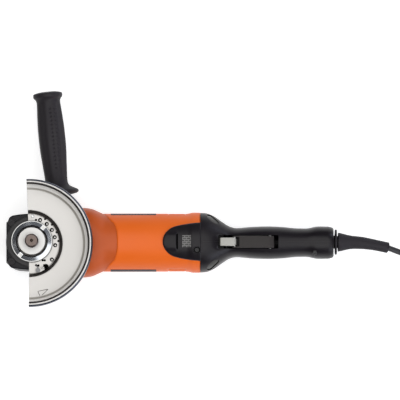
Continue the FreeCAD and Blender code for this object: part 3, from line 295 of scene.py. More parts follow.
GLOSSY_DARK = surface("vent_gloss", (0.014, 0.014, 0.013), (0.035, 0.034, 0.030), 0.25, bump=0.05,
                      specular=0.3)
SYMBOLS = symbol_finish()
CORD_BLACK = surface("cord_rubber", (0.014, 0.013, 0.015), (0.022, 0.021, 0.023), 0.5, bump=0.2)
SHADOW_GAP = surface("shadow_gap", (0.0015, 0.0015, 0.0015), (0.002, 0.002, 0.002), 0.8, bump=0.0,
                     specular=0.0)
STRAP = surface("woven_strap", (0.012, 0.012, 0.013), (0.03, 0.03, 0.032), 0.9, bump=0.7)


# ---- mesh making ------------------------------------------------------------------------------------
def piece(name, points, faces, finish, smooth_under=35.0):
    """A mesh object from points in millimetres and a list of faces, smooth except at sharp edges."""
    mesh = bpy.data.meshes.new(name)
    mesh.from_pydata((np.asarray(points) * MM).tolist(), [], [list(face) for face in faces])
    mesh.validate()
    mesh.update()
    made = bpy.data.objects.new(name, mesh)
    bpy.context.scene.collection.objects.link(made)
    mesh.materials.append(finish)
    mesh.shade_smooth()
    mesh.set_sharp_from_angle(angle=math.radians(smooth_under))
    return made


def full_turn(count):
    """Even angles once round."""
    return np.linspace(0, 2 * math.pi, count, endpoint=False)


def turned(radius, height, turn, x=0.0, y=0.0):
    """Points of a profile, its radii and heights in columns, turned about a vertical line."""
    return np.stack([x + radius * np.cos(turn), y + radius * np.sin(turn), height + 0 * turn], axis=-1)


def at_height(outline, z):
    """A flat outline as points at one height."""
    return np.column_stack([outline, np.full(len(outline), z)])


def grid_faces(rows, columns, wrap_rows=False, wrap_columns=False, start=0):
    """Quads over a grid of points numbered row by row, joined round where asked."""
    i = np.arange(rows if wrap_rows else rows - 1)[:, None]
    j = np.arange(columns if wrap_columns else columns - 1)[None, :]
    i2 = (i + 1) % rows
    j2 = (j + 1) % columns
    corners = np.stack([i * columns + j, i * columns + j2, i2 * columns + j2, i2 * columns + j], axis=-1)
    return (corners.reshape(-1, 4) + start).tolist()


def closed_loft(rings):
    """Points and faces of a closed solid through rings of points, with a flat lid on each end."""
    rings = np.asarray(rings)
    rows, columns = rings.shape[:2]
    faces = grid_faces(rows, columns, wrap_columns=True)
    faces.append(list(range(columns))[::-1])
    faces.append(list(range((rows - 1) * columns, rows * columns)))
    return rings.reshape(-1, 3), faces


def outward(made):
    """Merge doubled points and turn every face outwards."""
    work = bmesh.new()
    work.from_mesh(made.data)
    bmesh.ops.remove_doubles(work, verts=work.verts, dist=1e-6)
    bmesh.ops.recalc_face_normals(work, faces=work.faces)
    work.to_mesh(made.data)
    work.free()
    made.data.update()
    return made


def solid(name, rings, finish, smooth_under=35.0):
    """A closed lofted solid."""
    points, faces = closed_loft(rings)
    made = outward(piece(name, points, faces, finish, smooth_under))
    made.data.set_sharp_from_angle(angle=math.radians(smooth_under))
    return made


def sheet(name, first, second, finish):
    """A thin closed sheet between two like grids of points, joined along their edges."""
    rows, columns = first.shape[:2]
    count = rows * columns
    faces = grid_faces(rows, columns) + grid_faces(rows, columns, start=count)
    edge = list(range(columns)) + [columns * k + columns - 1 for k in range(1, rows)]
    edge += list(range(count - 2, count - columns - 1, -1)) + [columns * k for k in range(rows - 2, 0, -1)]
    for a, b in zip(edge, edge[1:] + edge[:1]):
        faces.append([a, b, b + count, a + count])
    return outward(piece(name, np.vstack([first.reshape(-1, 3), second.reshape(-1, 3)]), faces, finish))


def rounded(corners, radius, steps=5):
    """Closed outline points with each corner replaced by a quadratic arc that starts radius away from it."""
    corners = np.asarray(corners, float)
    count = len(corners)
    radii = np.broadcast_to(np.asarray(radius, float), (count,))
    out = []
    t = np.linspace(0, 1, steps + 1)[:, None]
    for k in range(count):
        here = corners[k]
        if radii[k] <= 0:
            out.append(here[None, :])
            continue
        before, after = corners[k - 1], corners[(k + 1) % count]
        into, away = before - here, after - here
        reach = min(radii[k], 0.49 * np.linalg.norm(into), 0.49 * np.linalg.norm(away))
        start = here + into / np.linalg.norm(into) * reach
        end = here + away / np.linalg.norm(away) * reach
        out.append((1 - t) ** 2 * start + 2 * t * (1 - t) * here + t ** 2 * end)
    return np.vstack(out)


def lathe(name, profile, finish, segments=96, x=0.0, y=0.0, smooth_under=35.0):
    """A closed (radius, z) profile turned a full turn about a vertical line."""
    profile = np.asarray(profile, float)
    points = turned(profile[:, :1], profile[:, 1:], full_turn(segments), x, y)
    made = piece(name, points.reshape(-1, 3),
                 grid_faces(len(profile), segments, wrap_rows=True, wrap_columns=True), finish)
    outward(made)
    made.data.set_sharp_from_angle(angle=math.radians(smooth_under))
    return made


def smooth_curve(t, knots, values):
    """A smooth curve through values at knots: cubic pieces with the slopes of their neighbours."""
    knots = np.asarray(knots, float)
    values = np.asarray(values, float)
    step = np.diff(knots)
    rise = np.diff(values) / step
    slope = np.empty_like(values)
    slope[1:-1] = (rise[:-1] + rise[1:]) / 2
    slope[0], slope[-1] = rise[0], rise[-1]
    flat = np.zeros_like(slope, bool)
    flat[1:-1] = rise[:-1] * rise[1:] <= 0
    slope[flat] = 0
    k = np.clip(np.searchsorted(knots, t, side="right") - 1, 0, len(step) - 1)
    u = (t - knots[k]) / step[k]
    return ((2 * u**3 - 3 * u**2 + 1) * values[k] + (u**3 - 2 * u**2 + u) * slope[k] * step[k]
            + (3 * u**2 - 2 * u**3) * values[k + 1] + (u**3 - u**2) * slope[k + 1] * step[k])


def soft_step(value):
    """0 below 0, 1 above 1, smooth between."""
    value = np.clip(value, 0, 1)
    return value * value * (3 - 2 * value)


def rings_along(places, radii, columns=40):
    """Round rings set square to a line of places."""
    places = np.asarray(places, float)
    along = np.gradient(places, axis=0)
    along /= np.linalg.norm(along, axis=1, keepdims=True)
    side = np.cross(along, np.array([0.0, 0.0, 1.0]))
    side /= np.linalg.norm(side, axis=1, keepdims=True)
    up = np.cross(side, along)
    turn = full_turn(columns)
    ring = np.cos(turn)[None, :, None] * side[:, None, :] + np.sin(turn)[None, :, None] * up[:, None, :]
    return places[:, None, :] + ring * np.asarray(radii)[:, None, None]


def super_ring(turn, half, low, high, square):
    """Points (y, z) of superellipse sections, one row a section."""
    power = (2 / square)[:, None]
    across = np.sign(np.cos(turn)) * np.abs(np.cos(turn)) ** power
    up = np.sign(np.sin(turn)) * np.abs(np.sin(turn)) ** power
    return half[:, None] * across, ((low + high) / 2)[:, None] + ((high - low) / 2)[:, None] * up


def inset(outline, amount):
    """An outline moved inwards along its own normals. It runs anticlockwise."""
    along = np.roll(outline, -1, axis=0) - np.roll(outline, 1, axis=0)
    along /= np.linalg.norm(along, axis=1, keepdims=True)
    normal = np.stack([-along[:, 1], along[:, 0]], axis=1)
    return outline + normal * amount


def slab(name, outline, z0, z1, edge, finish, steps=4, low_edge=None):
    """A plate of a given outline from z0 to z1, its edges rolled over by quarter rounds."""
    low_edge = edge if low_edge is None else low_edge
    layers = []
    for a in np.linspace(0, math.pi / 2, steps + 1):
        layers.append((z0 + low_edge * (1 - math.sin(a)), low_edge * (1 - math.cos(a))))
    layers = layers[::-1]
    for a in np.linspace(0, math.pi / 2, steps + 1):
        layers.append((z1 - edge * (1 - math.sin(a)), edge * (1 - math.cos(a))))
    return solid(name, [at_height(inset(outline, amount), z) for z, amount in layers], finish)


def cut(made, cutter, how="DIFFERENCE"):
    """Take the cutter out of a piece, join it to the piece or keep what they share, and remove the cutter."""
    step = made.modifiers.new("cut", "BOOLEAN")
    step.operation = how
    step.solver = "EXACT"
    step.object = cutter
    bpy.context.view_layer.update()
    shaped = made.evaluated_get(bpy.context.evaluated_depsgraph_get())
    mesh = bpy.data.meshes.new_from_object(shaped)
    made.modifiers.clear()
    old = made.data
    made.data = mesh
    mesh.name = made.name
    bpy.data.meshes.remove(old)
    bpy.data.objects.remove(cutter)
    made.data.shade_smooth()
    made.data.set_sharp_from_angle(angle=math.radians(35.0))
    return made


def soften(made, width, limit=38.0):
    """A small bevel on the sharp edges."""
    bevel = made.modifiers.new("edge", "BEVEL")
    bevel.width = width * MM
    bevel.segments = 2
    bevel.limit_method = "ANGLE"
    bevel.angle_limit = math.radians(limit)


def drum(name, radius, z0, z1, x=0.0, y=0.0, segments=32):
    """A plain upright cylinder, for cutting with."""
    ends = np.array([(radius, z0), (radius, z1)], float)
    return solid(name, turned(ends[:, :1], ends[:, 1:], full_turn(segments), x, y), DARK_STEEL)


def brick(name, x0, x1, y0, y1, z0, z1, round_to=0.0, finish=DARK_STEEL):
    """An upright block, for cutting with, its corners in plan rounded."""
    corners = [(x0, y0), (x1, y0), (x1, y1), (x0, y1)]
    outline = rounded(corners, round_to, 6) if round_to > 0 else np.array(corners, float)
    return solid(name, [at_height(outline, z) for z in (z0, z1)], finish)


def settle(made, body, slot, *nodes):
    """Tell the frame what a finished piece rides on and hide the nodes it stands for; the slot argument is
    not used.
    """
    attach(made, body)
    if nodes:
        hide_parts(*nodes)
    return made


# ---- cord -------------------------------------------------------------------------------------------
def coil_turns():
    """Points along the coil: layers of turns that run in and out in turn, ending on top at its far side."""
    layers = 5
    columns = np.array([45.2, 39.1, 33.0, 27.0])
    per_turn = 16
    start = math.radians(-100)
    step_share = 0.20                    # the part of a turn in which the cord moves to the next one
    places = []
    radii, heights = [], []
    for layer in range(layers):
        order = columns if layer % 2 == 0 else columns[::-1]
        for radius in (order if layer < layers - 1 else order[:1]):
            radii.append(radius)
            heights.append(4.0 + CORD_D * layer)
    count = len(radii)
    total = count * per_turn + 4
    for k in range(total):
        turn = k / per_turn
        whole = min(int(turn), count - 1)
        share = min(max((turn - whole - 0.80) / step_share, 0.0), 1.0)
        share = share * share * (3 - 2 * share)
        after = min(whole + 1, count - 1)
        radius = radii[whole] + (radii[after] - radii[whole]) * share
        height = heights[whole] + (heights[after] - heights[whole]) * share
        angle = start + 2 * math.pi * turn
        places.append((COIL_X + radius * math.cos(angle), COIL_Y + radius * math.sin(angle), height))
    return places


def make_cord():
    """The lead: out of the boot, down onto the bench, round the coil and on to the plug."""
    places = CORD_ROUTE + coil_turns()[1:] + TAIL_ROUTE
    data = bpy.data.curves.new("mains_lead", "CURVE")
    data.dimensions = "3D"
    line = data.splines.new("NURBS")
    line.points.add(len(places) - 1)
    for point, place in zip(line.points, places):
        point.co = (*[value * MM for value in place], 1.0)
    line.order_u = 3
    line.use_endpoint_u = True
    line.resolution_u = 5
    data.bevel_depth = CORD_D / 2 * MM
    data.bevel_resolution = 3
    data.use_fill_caps = True
    data.materials.append(CORD_BLACK)
    lead = bpy.data.objects.new("mains_lead", data)
    bpy.context.scene.collection.objects.link(lead)
    settle(lead, "root", "black_rubber", "cord_tube", "cord_coil")


def boot_sections():
    """(place, radius) along the boot: its drooping line smoothed, with the neck behind its collar."""
    t = np.linspace(0, 1, 40)
    knots = np.linspace(0, 1, len(BOOT_LINE))
    return np.stack([smooth_curve(t, knots, BOOT_LINE[:, k]) for k in range(4)], axis=1)


def make_boot():
    """The rubber boot: collar disc, neck, and the drooping tapered sleeve with a rolled end."""
    y0, z0 = BOOT_LINE[0, 1], BOOT_LINE[0, 2]
    head = np.array([(312.0, 9.6), (315.9, 9.6), (316.0, 6.9), (320.4, 6.9), (320.7, 12.4), (321.1, 13.2),
                     (321.9, 13.4), (322.7, 13.1), (323.0, 12.2), (323.1, 6.6), (323.9, 6.4), (324.2, 8.8)])
    head_line = np.column_stack([head[:, 0], np.full(len(head), y0), np.full(len(head), z0)])
    line = boot_sections()
    radii = line[:, 3].copy()
    radii[0] -= 0.4
    radii[-1] -= 0.3
    line[1, :3] = line[0, :3] + (line[1, :3] - line[0, :3]) * 0.25
    line[-2, :3] = line[-1, :3] + (line[-2, :3] - line[-1, :3]) * 0.2
    places = np.vstack([head_line, line[:, :3]])
    rings = rings_along(places, np.concatenate([head[:, 1], radii]), 48)
    boot = solid("cord_boot", rings, SOFT_BLACK, 50.0)
    return settle(boot, "root", "black_rubber", "cable_boot")


def make_plug():
    """The moulded two-pin plug: an oval body that narrows to the cord, with finger grooves."""
    low, high = span("plug_body")
    x, z = middle("plug_pins")[0], middle("plug_pins")[2]
    t = np.linspace(0, 1, 46)
    knots = [0.0, 0.05, 0.26, 0.48, 0.7, 0.96, 1.0]
    wide = smooth_curve(t, knots, [4.3, 4.7, 6.2, 13.4, 17.4, 17.4, 16.4])
    tall = smooth_curve(t, knots, [4.3, 4.7, 6.0, 9.6, 12.3, 12.7, 11.8])
    ribs = 0.35 * np.cos(2 * math.pi * t * 14) * ((t > 0.08) & (t < 0.30))
    across, up = super_ring(full_turn(56), wide + ribs, -(tall + ribs), tall + ribs, np.full(len(t), 2.5))
    y = (low[1] + (high[1] - low[1]) * t)[:, None]
    rings = np.stack([x + across, y + 0 * across, z + up], axis=-1)
    body = solid("plug_moulding", rings, SOFT_BLACK, 45.0)
    return settle(body, "root", "black_rubber", "plug_body")


# ---- gear head --------------------------------------------------------------------------------------
def head_outline():
    """The bearing flange's outline: a rounded square whose sides bow out a little."""
    low, high = HEAD_LOW[:2], HEAD_HIGH[:2]
    centre = (low + high) / 2
    steps, bow = 40, 2.8
    half = (high - low) / 2 - bow
    sides = []
    corner = [(-1, -1), (1, -1), (1, 1), (-1, 1)]
    for k in range(4):
        a = np.array(corner[k]) * half
        b = np.array(corner[(k + 1) % 4]) * half
        t = np.linspace(0, 1, steps, endpoint=False)[:, None]
        out = np.array([b[1] - a[1], a[0] - b[0]])
        out = out / np.linalg.norm(out)
        sides.append(a + (b - a) * t + out * bow * 4 * t * (1 - t))
    outline = np.vstack(sides)
    return centre + round_corner_blend(outline, 5.2, steps)


def round_corner_blend(outline, radius, steps):
    """Round the four corners of an outline that has steps points to a side."""
    out = outline.copy()
    count = len(outline)
    for k in range(4):
        at = k * steps
        reach = 0
        while np.linalg.norm(outline[(at + reach) % count] - outline[at]) < radius:
            reach += 1
        start, here, end = outline[(at - reach) % count], outline[at], outline[(at + reach) % count]
        for n in range(-reach, reach + 1):
            t = (n + reach) / (2 * reach)
            out[(at + n) % count] = (1 - t) ** 2 * start + 2 * t * (1 - t) * here + t**2 * end
    return out


def make_bearing_flange():
    """The black cover: a bowed square plate with sunk corners, a round boss and the neck."""
    z0, top = HEAD_LOW[2], 56.5
    plate = slab("bearing_cover", head_outline(), z0, top, 1.6, HEAD_PAINT, low_edge=0.3)
    for x in (-HEAD_SCREW_X, HEAD_SCREW_X):
        for y in (-HEAD_SCREW_Y, HEAD_SCREW_Y):
            plate = cut(plate, drum("sink", 4.4, 52.6, 80, x, y))
            plate = cut(plate, drum("hole", 2.3, 40, 80, x, y, 20))
    plate = cut(plate, drum("bore", NECK_R - 1.2, 30, 90, 0, 0, 96))
    soften(plate, 0.35)
    settle(plate, "root", "head_paint", "bearing_flange")
    boss = lathe("bearing_boss", rounded([(20.6, 50.0), (27.6, 50.0), (26.6, 58.6), (20.6, 58.6)],
                                         [0, 0, 1.2, 0.3]), BOSS_PAINT)
    settle(boss, "root", "head_paint")
    neck = lathe("bearing_neck", rounded([(18.65, 50.0), (NECK_R, 50.0), (NECK_R, 67.95), (18.65, 67.95)],
                                         [0, 0, 0.12, 0.1]), PLAIN_STEEL, 128)
    settle(neck, "root", "head_paint")


def make_gear_housing():
    """The cast head: a bowed block that widens to the barrel, with a flat back and handle bosses."""
    low, high = span("gear_housing")
    x0, x1 = low[0], high[0]
    xs = np.concatenate([x0 + 9.0 * (1 - np.cos(np.linspace(0, math.pi / 2, 12))),
                         np.linspace(x0 + 10, x1, 30)])
    knots = [x0, -18.2, -8.0, 14.0, 30.0, 40.0, x1]
    half = smooth_curve(xs, knots, [21.5, 28.0, 29.8, 29.9, 32.8, 35.2, 36.6])
    low = smooth_curve(xs, knots, [12.0, 2.4, 0.0, 0.0, 0.0, 0.0, 0.2])
    high = smooth_curve(xs, [x0, 28.0, 33.0, 41.5, x1], [45.9, 45.9, 46.4, 61.0, 61.6])
    square = 5.0 - 1.6 * np.clip((xs - 15) / (x1 - 15), 0, 1)
    y, z = super_ring(full_turn(120), half, low, high, square)
    rings = np.stack([xs[:, None] + 0 * y, y, z], axis=-1)
    body = solid("gear_case", rings, HEAD_PAINT, 40.0)
    for side in (1, -1):
        along = np.array([-math.sin(GRIP_TILT), side * math.cos(GRIP_TILT), 0.0])
        base = np.array([GRIP_BASE[0], side * GRIP_BASE[1], GRIP_BASE[2]])
        reach = np.array([-31.0, -17.0, -16.2, -15.6, -15.5])
        boss = solid("boss", rings_along(base + along * reach[:, None], [11.0, 11.0, 10.8, 10.2, 9.6], 56),
                     HEAD_PAINT)
        body = cut(body, boss, "UNION")
        hole = solid("hole", rings_along(base + along * np.array([-35.0, -10.0])[:, None],
                                         [4.2 if side == 1 else 3.4] * 2, 32), HEAD_PAINT)
        body = cut(body, hole)
    body = cut(body, drum("button_well", 6.2, -1, 9.5, -16, 0, 40))
    for shift in (4.6 * k for k in range(3)):
        for y0, y1 in ((31, 40), (-40, -31)):
            body = cut(body, brick("air_slot", 30.5 + shift, 32.7 + shift, y0, y1, 39.0, 50.0))
    soften(body, 0.4)
    settle(body, "root", "head_paint", "gear_housing")


def make_spindle():
    """The spindle: ground shoulder, M14 thread as a helical ridge, chamfered end with a centre hole."""
    pitch, root = 2.0, SPINDLE_R - 1.15
    low, high = 74.0, SPINDLE_TOP
    rows = int((high - low) / pitch * 16)
    z = np.linspace(low, high, rows)[:, None]
    turn = full_turn(72)[None, :]
    phase = ((z - low) / pitch - turn / (2 * math.pi)) % 1.0
    ridge = np.clip(1 - np.abs(phase - 0.5) * 2.3, 0, 0.88) / 0.88
    radius = root + (SPINDLE_R - root) * ridge
    radius = np.minimum(radius, SPINDLE_R - np.clip(z - (high - 1.6), 0, 2) * 0.75)
    radius = np.minimum(radius, root + np.clip(z - (low + 0.6), 0, 3) * 1.2)
    thread = turned(radius, z, turn)
    end = np.array([(5.6, 0.0), (5.3, 0.0), (5.2, -0.12), (4.2, -0.12), (4.1, 0.0), (3.2, 0.0), (3.1, -0.12),
                    (2.2, -0.12), (2.1, 0.0), (1.7, 0.0), (0.9, -1.6), (0.25, -2.4)])
    cap = turned(end[:, :1], high + end[:, 1:], turn)
    shoulder = np.array([(4.0, 8.2), (4.0, 20), (5.5, 20), (5.5, 47.6), (6.0, 47.6), (6.0, 58.1), (9.0, 58.1),
                         (9.0, 71.8), (6.0, 72.4)])
    lower = turned(shoulder[:, :1], shoulder[:, 1:], turn)
    made = solid("threaded_spindle", np.vstack([lower, thread, cap]), SPINDLE_STEEL, 30.0)
    settle(made, "spindle_set", "steel", "spindle")
    seat = lathe("disc_support_flange",
                 rounded([(SPINDLE_R + 0.05, SEAT_LOW[2]), (SEAT_R - 2.6, SEAT_LOW[2]), (SEAT_R, 74.4),
                          (SEAT_R, SEAT_HIGH[2]), (SPINDLE_R + 0.05, SEAT_HIGH[2])],
                         [0.2, 0.4, 0.6, 0.5, 0.3]), GROUND, 112)
    settle(seat, "spindle_set", "ground_steel", "support_flange")


def make_retainer_ring():
    """The polished slotted ring in the neck: a shallow cone with a flat rim and two spanner slots."""
    r = NECK_R - 0.7
    profile = [(16.6, 64.0), (r, 64.0), (r, 68.9), (17.0, 70.5), (16.6, 70.1)]
    ring = lathe("slotted_ring", profile, BRIGHT, 160)
    for angle in (50.0, 230.0):
        slot = brick("slot", 16.4, 25, -2.1, 2.1, 68.3, 76)
        turn_about_z(slot, math.radians(angle))
        ring = cut(ring, slot)
        pad = brick("slot_floor", 17.1, r - 0.1, -1.9, 1.9, 66.0, 68.5, finish=GROUND)
        turn_about_z(pad, math.radians(angle))
        settle(pad, "root", "polished_ring")
    ring.data.set_sharp_from_angle(angle=math.radians(9.0))
    settle(ring, "root", "polished_ring", "bearing_retainer_ring")
    seal = lathe("seal_lip", rounded([(15.3, 60.0), (16.9, 60.0), (16.9, 67.6), (16.0, 67.2), (15.3, 66.4)],
                                     [0, 0, 0.3, 0.3, 0.3], 3), SOFT_BLACK, 96)
    settle(seal, "root", "felt")
    wire = lathe("seal_wire", [(15.75 + 0.22 * math.cos(a), 67.4 + 0.22 * math.sin(a))
                               for a in full_turn(8)], PLAIN_STEEL, 96)
    settle(wire, "root", "steel")


def turn_about_z(made, angle):
    """Turn a piece's points about the spindle's axis."""
    count = len(made.data.vertices)
    places = np.empty(count * 3)
    made.data.vertices.foreach_get("co", places)
    places = places.reshape(-1, 3)
    c, s = math.cos(angle), math.sin(angle)
    places = places @ np.array([[c, s, 0], [-s, c, 0], [0, 0, 1]])
    made.data.vertices.foreach_set("co", places.ravel())
    made.data.update()


# ---- guard ------------------------------------------------------------------------------------------
def guard_place(radius, angle):
    """World (x, y) of a radius and an angle about the guard's own centre."""
    return GUARD_X + radius * np.cos(angle), GUARD_Y + radius * np.sin(angle)


def guard_angles(count):
    """Even angles from one end of the guard to the other."""
    return np.linspace(-GUARD_HALF, GUARD_HALF, count) + GUARD_TURN


def neck_reach(angles, gap):
    """Distance from the guard's centre, at each angle, to the circle that clears the neck by a gap."""
    centre = np.array([-GUARD_X, -GUARD_Y])
    reach = np.stack([np.cos(angles), np.sin(angles)], axis=1) @ centre
    return reach + np.sqrt(reach**2 - centre @ centre + (NECK_R + gap) ** 2)


def make_guard():
    """The pressing: a closed sheet profile carried half round the guard's centre.

    The profile starts at the neck, whose circle is off the guard's centre, so its inner points move in
    and out with the angle. The rolled lip falls outwards from its inner ridge to the outer edge."""
    t, r, top, floor, plate = SHEET, GUARD_R, GUARD_HIGH[2], GUARD_LOW[2], PLATE_Z
    lip = r - 5.4
    start = 27.0                         # stands in for the neck's circle until the profile is carried round
    ridge = r - 3.4
    outer = [(start, floor), (STEP_R - 2.2, floor), (STEP_R + 0.8, plate), (SLOPE_R0, plate),
             (SLOPE_R1, plate + 1.1), (r - 2.6, plate + 1.3), (r, plate + 4.0), (r, top - 2.2),
             (r - 2.0, top - 0.2), (ridge, top), (lip, top - 2.2)]
    inner = [(lip, top - 3.4), (r - 2.0, top - t - 1.2), (r - t, top - 3.8), (r - t, plate + 5.0),
             (ridge, plate + t + 1.3), (SLOPE_R1, plate + t + 1.1), (SLOPE_R0, plate + t),
             (STEP_R + 0.2, plate + t), (STEP_R - 2.8, floor + t), (start, floor + t)]
    corners = [0, 1.6, 1.6, 1.2, 1.2, 1.6, 1.6, 1.2, 0.5, 0.5, 0.4,
               0.4, 1.0, 1.0, 1.4, 1.4, 1.2, 1.4, 1.4, 1.4, 0]
    profile = rounded(outer + inner, corners, 6)
    rows = 181
    angles = guard_angles(rows)
    neck = neck_reach(angles, 0.3)
    radius = np.repeat(profile[:, 0][None, :], rows, axis=0)
    radius = np.where(radius < start + 0.01, neck[:, None], radius)
    x, y = guard_place(radius, angles[:, None])
    z = np.repeat(profile[:, 1][None, :], rows, axis=0)
    rings = np.stack([x, y, z], axis=-1)
    guard = solid("guard_pressing", rings, GUARD_STEEL, 32.0)
    # Darker finishes by place: painted shade on the step wall, the lip's inner band and the shallow slope,
    # and a painted dark bluish reflection on the rolled outer edge.
    edge, shade, slope = 1, 2, 3
    for finish in (EDGE_DARK_REFLECTION, STEP_SHADE, ROLLED_SHADE):
        guard.data.materials.append(finish)
    for face in guard.data.polygons:
        x, y, z = np.array(face.center) / MM
        away = math.hypot(x - GUARD_X, y - GUARD_Y)
        if STEP_R - 3.0 < away < STEP_R + 0.3 and floor + t + 0.1 < z < plate + t - 0.1:
            face.material_index = shade
        elif away > r - 1.95 and z > plate + 2.5:
            face.material_index = edge
        elif away < ridge + 0.1 and z > top - 3.0:
            face.material_index = shade
        elif SLOPE_R0 < away < SLOPE_R1 - 0.2:
            face.material_index = slope
    soften(guard, 0.25, 60.0)
    settle(guard, "guard", "guard_steel", "guard_shell")


def make_index_plate():
    """The index plate: a flat ring segment with latch holes, nicks, a notch and a spot weld."""
    z0 = GUARD_LOW[2] + SHEET + 0.05
    rows = 120
    angles = guard_angles(rows)
    inner = neck_reach(angles, 0.5)
    outer = np.full(rows, STEP_R - 3.6)
    rings = []
    for radius, z in ((outer, z0), (outer, z0 + 1.2), (outer - 0.3, z0 + 1.5), (inner + 0.2, z0 + 1.5),
                      (inner, z0 + 1.3), (inner, z0)):
        x, y = guard_place(radius, angles)
        rings.append(np.column_stack([x, y, np.full(rows, z)]))
    plate = solid("index_plate", np.transpose(np.array(rings), (1, 0, 2)), GUARD_STEEL)
    holes = [(24.4, 69.0), (24.4, 49.5), (24.5, 30.0), (24.6, 10.6), (25.0, -9.0), (28.6, -42.0)]
    nicks = [(23.2, 79.0), (27.6, 59.5), (27.8, 40.0), (28.0, 20.5), (28.2, 1.0), (26.4, -74.5),
             (25.6, -79.5), (24.2, -55.5), (23.0, -60.0)]
    wells = [("hole", 2.2, place) for place in holes] + [("nick", 1.25, place) for place in nicks]
    wells.append(("notch", 3.1, (30.6, -61.0)))
    for n, (kind, size, (reach_r, angle)) in enumerate(wells):
        x = reach_r * math.cos(math.radians(angle))
        y = reach_r * math.sin(math.radians(angle))
        plate = cut(plate, drum(kind, size, z0 - 1, z0 + 3, x, y, 28))
        # Painted shadow: a dark disc in each well where its floor lies in shade.
        wide = size - 0.02
        pit = lathe("%s_floor_%d" % (kind, n), [(0.01, z0 - 0.1), (wide, z0 - 0.1), (wide, z0 + 0.25),
                                                (0.01, z0 + 0.25)], SHADOW_GAP, 28, x, y)
        settle(pit, "guard", "guard_steel")
        if kind == "hole":
            dot = lathe("hole_dot_%d" % n, [(0.01, z0), (0.85, z0), (0.85, z0 + 1.1), (0.01, z0 + 1.2)],
                        GUARD_STEEL, 20, x + 0.2, y - 0.2)
            settle(dot, "guard", "guard_steel")
    settle(plate, "guard", "guard_steel", "guard_index_ring")
    x, y = 1.0, 26.6
    weld = lathe("spot_weld", rounded([(0.01, z0 + 1.3), (2.0, z0 + 1.3), (2.0, z0 + 1.75), (1.5, z0 + 1.85),
                                       (1.1, z0 + 1.55), (0.01, z0 + 1.6)], [0, 0, 0.2, 0.2, 0.2, 0], 3),
                 PLAIN_STEEL, 36, x, y)
    settle(weld, "guard", "guard_steel")


def make_latch():
    """The latch lever, a thin dark sheet beside it as painted shadow of its recess, and the bowed leaf spring
    against it.
    """
    z0 = middle("guard_latch")[2] - 2.2
    outline = rounded([(3.4, -31.8), (8.4, -32.8), (13.6, -30.0), (13.2, -26.6), (9.6, -27.4), (4.4, -28.6)],
                      0.9, 4)
    lever = slab("latch_lever", outline, z0, z0 + 1.6, 0.3, GUARD_STEEL, 3)
    nose = slab("nose", rounded([(10.2, -29.4), (13.4, -29.0), (13.2, -27.0), (10.0, -27.6)], 0.5, 3),
                z0 + 1.0, z0 + 4.3, 0.5, GROUND, 3)
    lever = cut(lever, nose, "UNION")
    settle(lever, "latch", "guard_steel", "guard_latch")
    # Painted shadow: a thin dark sheet on the index plate beside the lever.
    recess = rounded([(11.6, -24.4), (16.0, -23.8), (17.6, -28.2), (15.4, -31.6), (12.4, -32.6),
                      (10.6, -31.0), (13.9, -28.0)], 0.6, 3)
    shade = slab("latch_recess_shadow", recess, GUARD_LOW[2] + SHEET + 1.3, GUARD_LOW[2] + SHEET + 1.62, 0.1,
                 SHADOW_GAP, 2)
    settle(shade, "guard", "guard_steel")
    t = np.linspace(0, 1, 20)
    bow = np.column_stack([4.2 + 3.6 * t + 0.6 * np.sin(math.pi * t), -25.2 - 6.4 * t**1.3,
                           np.full(20, z0 + 2.4)])
    leaf = solid("latch_spring", rings_along(bow, np.full(20, 0.42), 12), DARK_STEEL)
    settle(leaf, "guard", "steel")


def make_arrow():
    """The turning arrow: an outlined triangle on the plate, a thin dark band."""
    corners = np.array([(6.0, -53.4), (17.4, -51.0), (9.1, -58.9)]) + np.array([0.2, 0.4])
    outline = rounded(corners, 1.0, 3)
    z = PLATE_Z + SHEET
    rings = np.array([at_height(inset(outline, across), z + up)
                      for across, up in ((-0.3, -0.05), (-0.3, 0.05), (0.3, 0.05), (0.3, -0.05))])
    made = piece("turning_arrow", rings.reshape(-1, 3),
                 grid_faces(4, rings.shape[1], wrap_rows=True, wrap_columns=True), STEP_SHADE)
    outward(made)
    settle(made, "guard", "guard_steel")


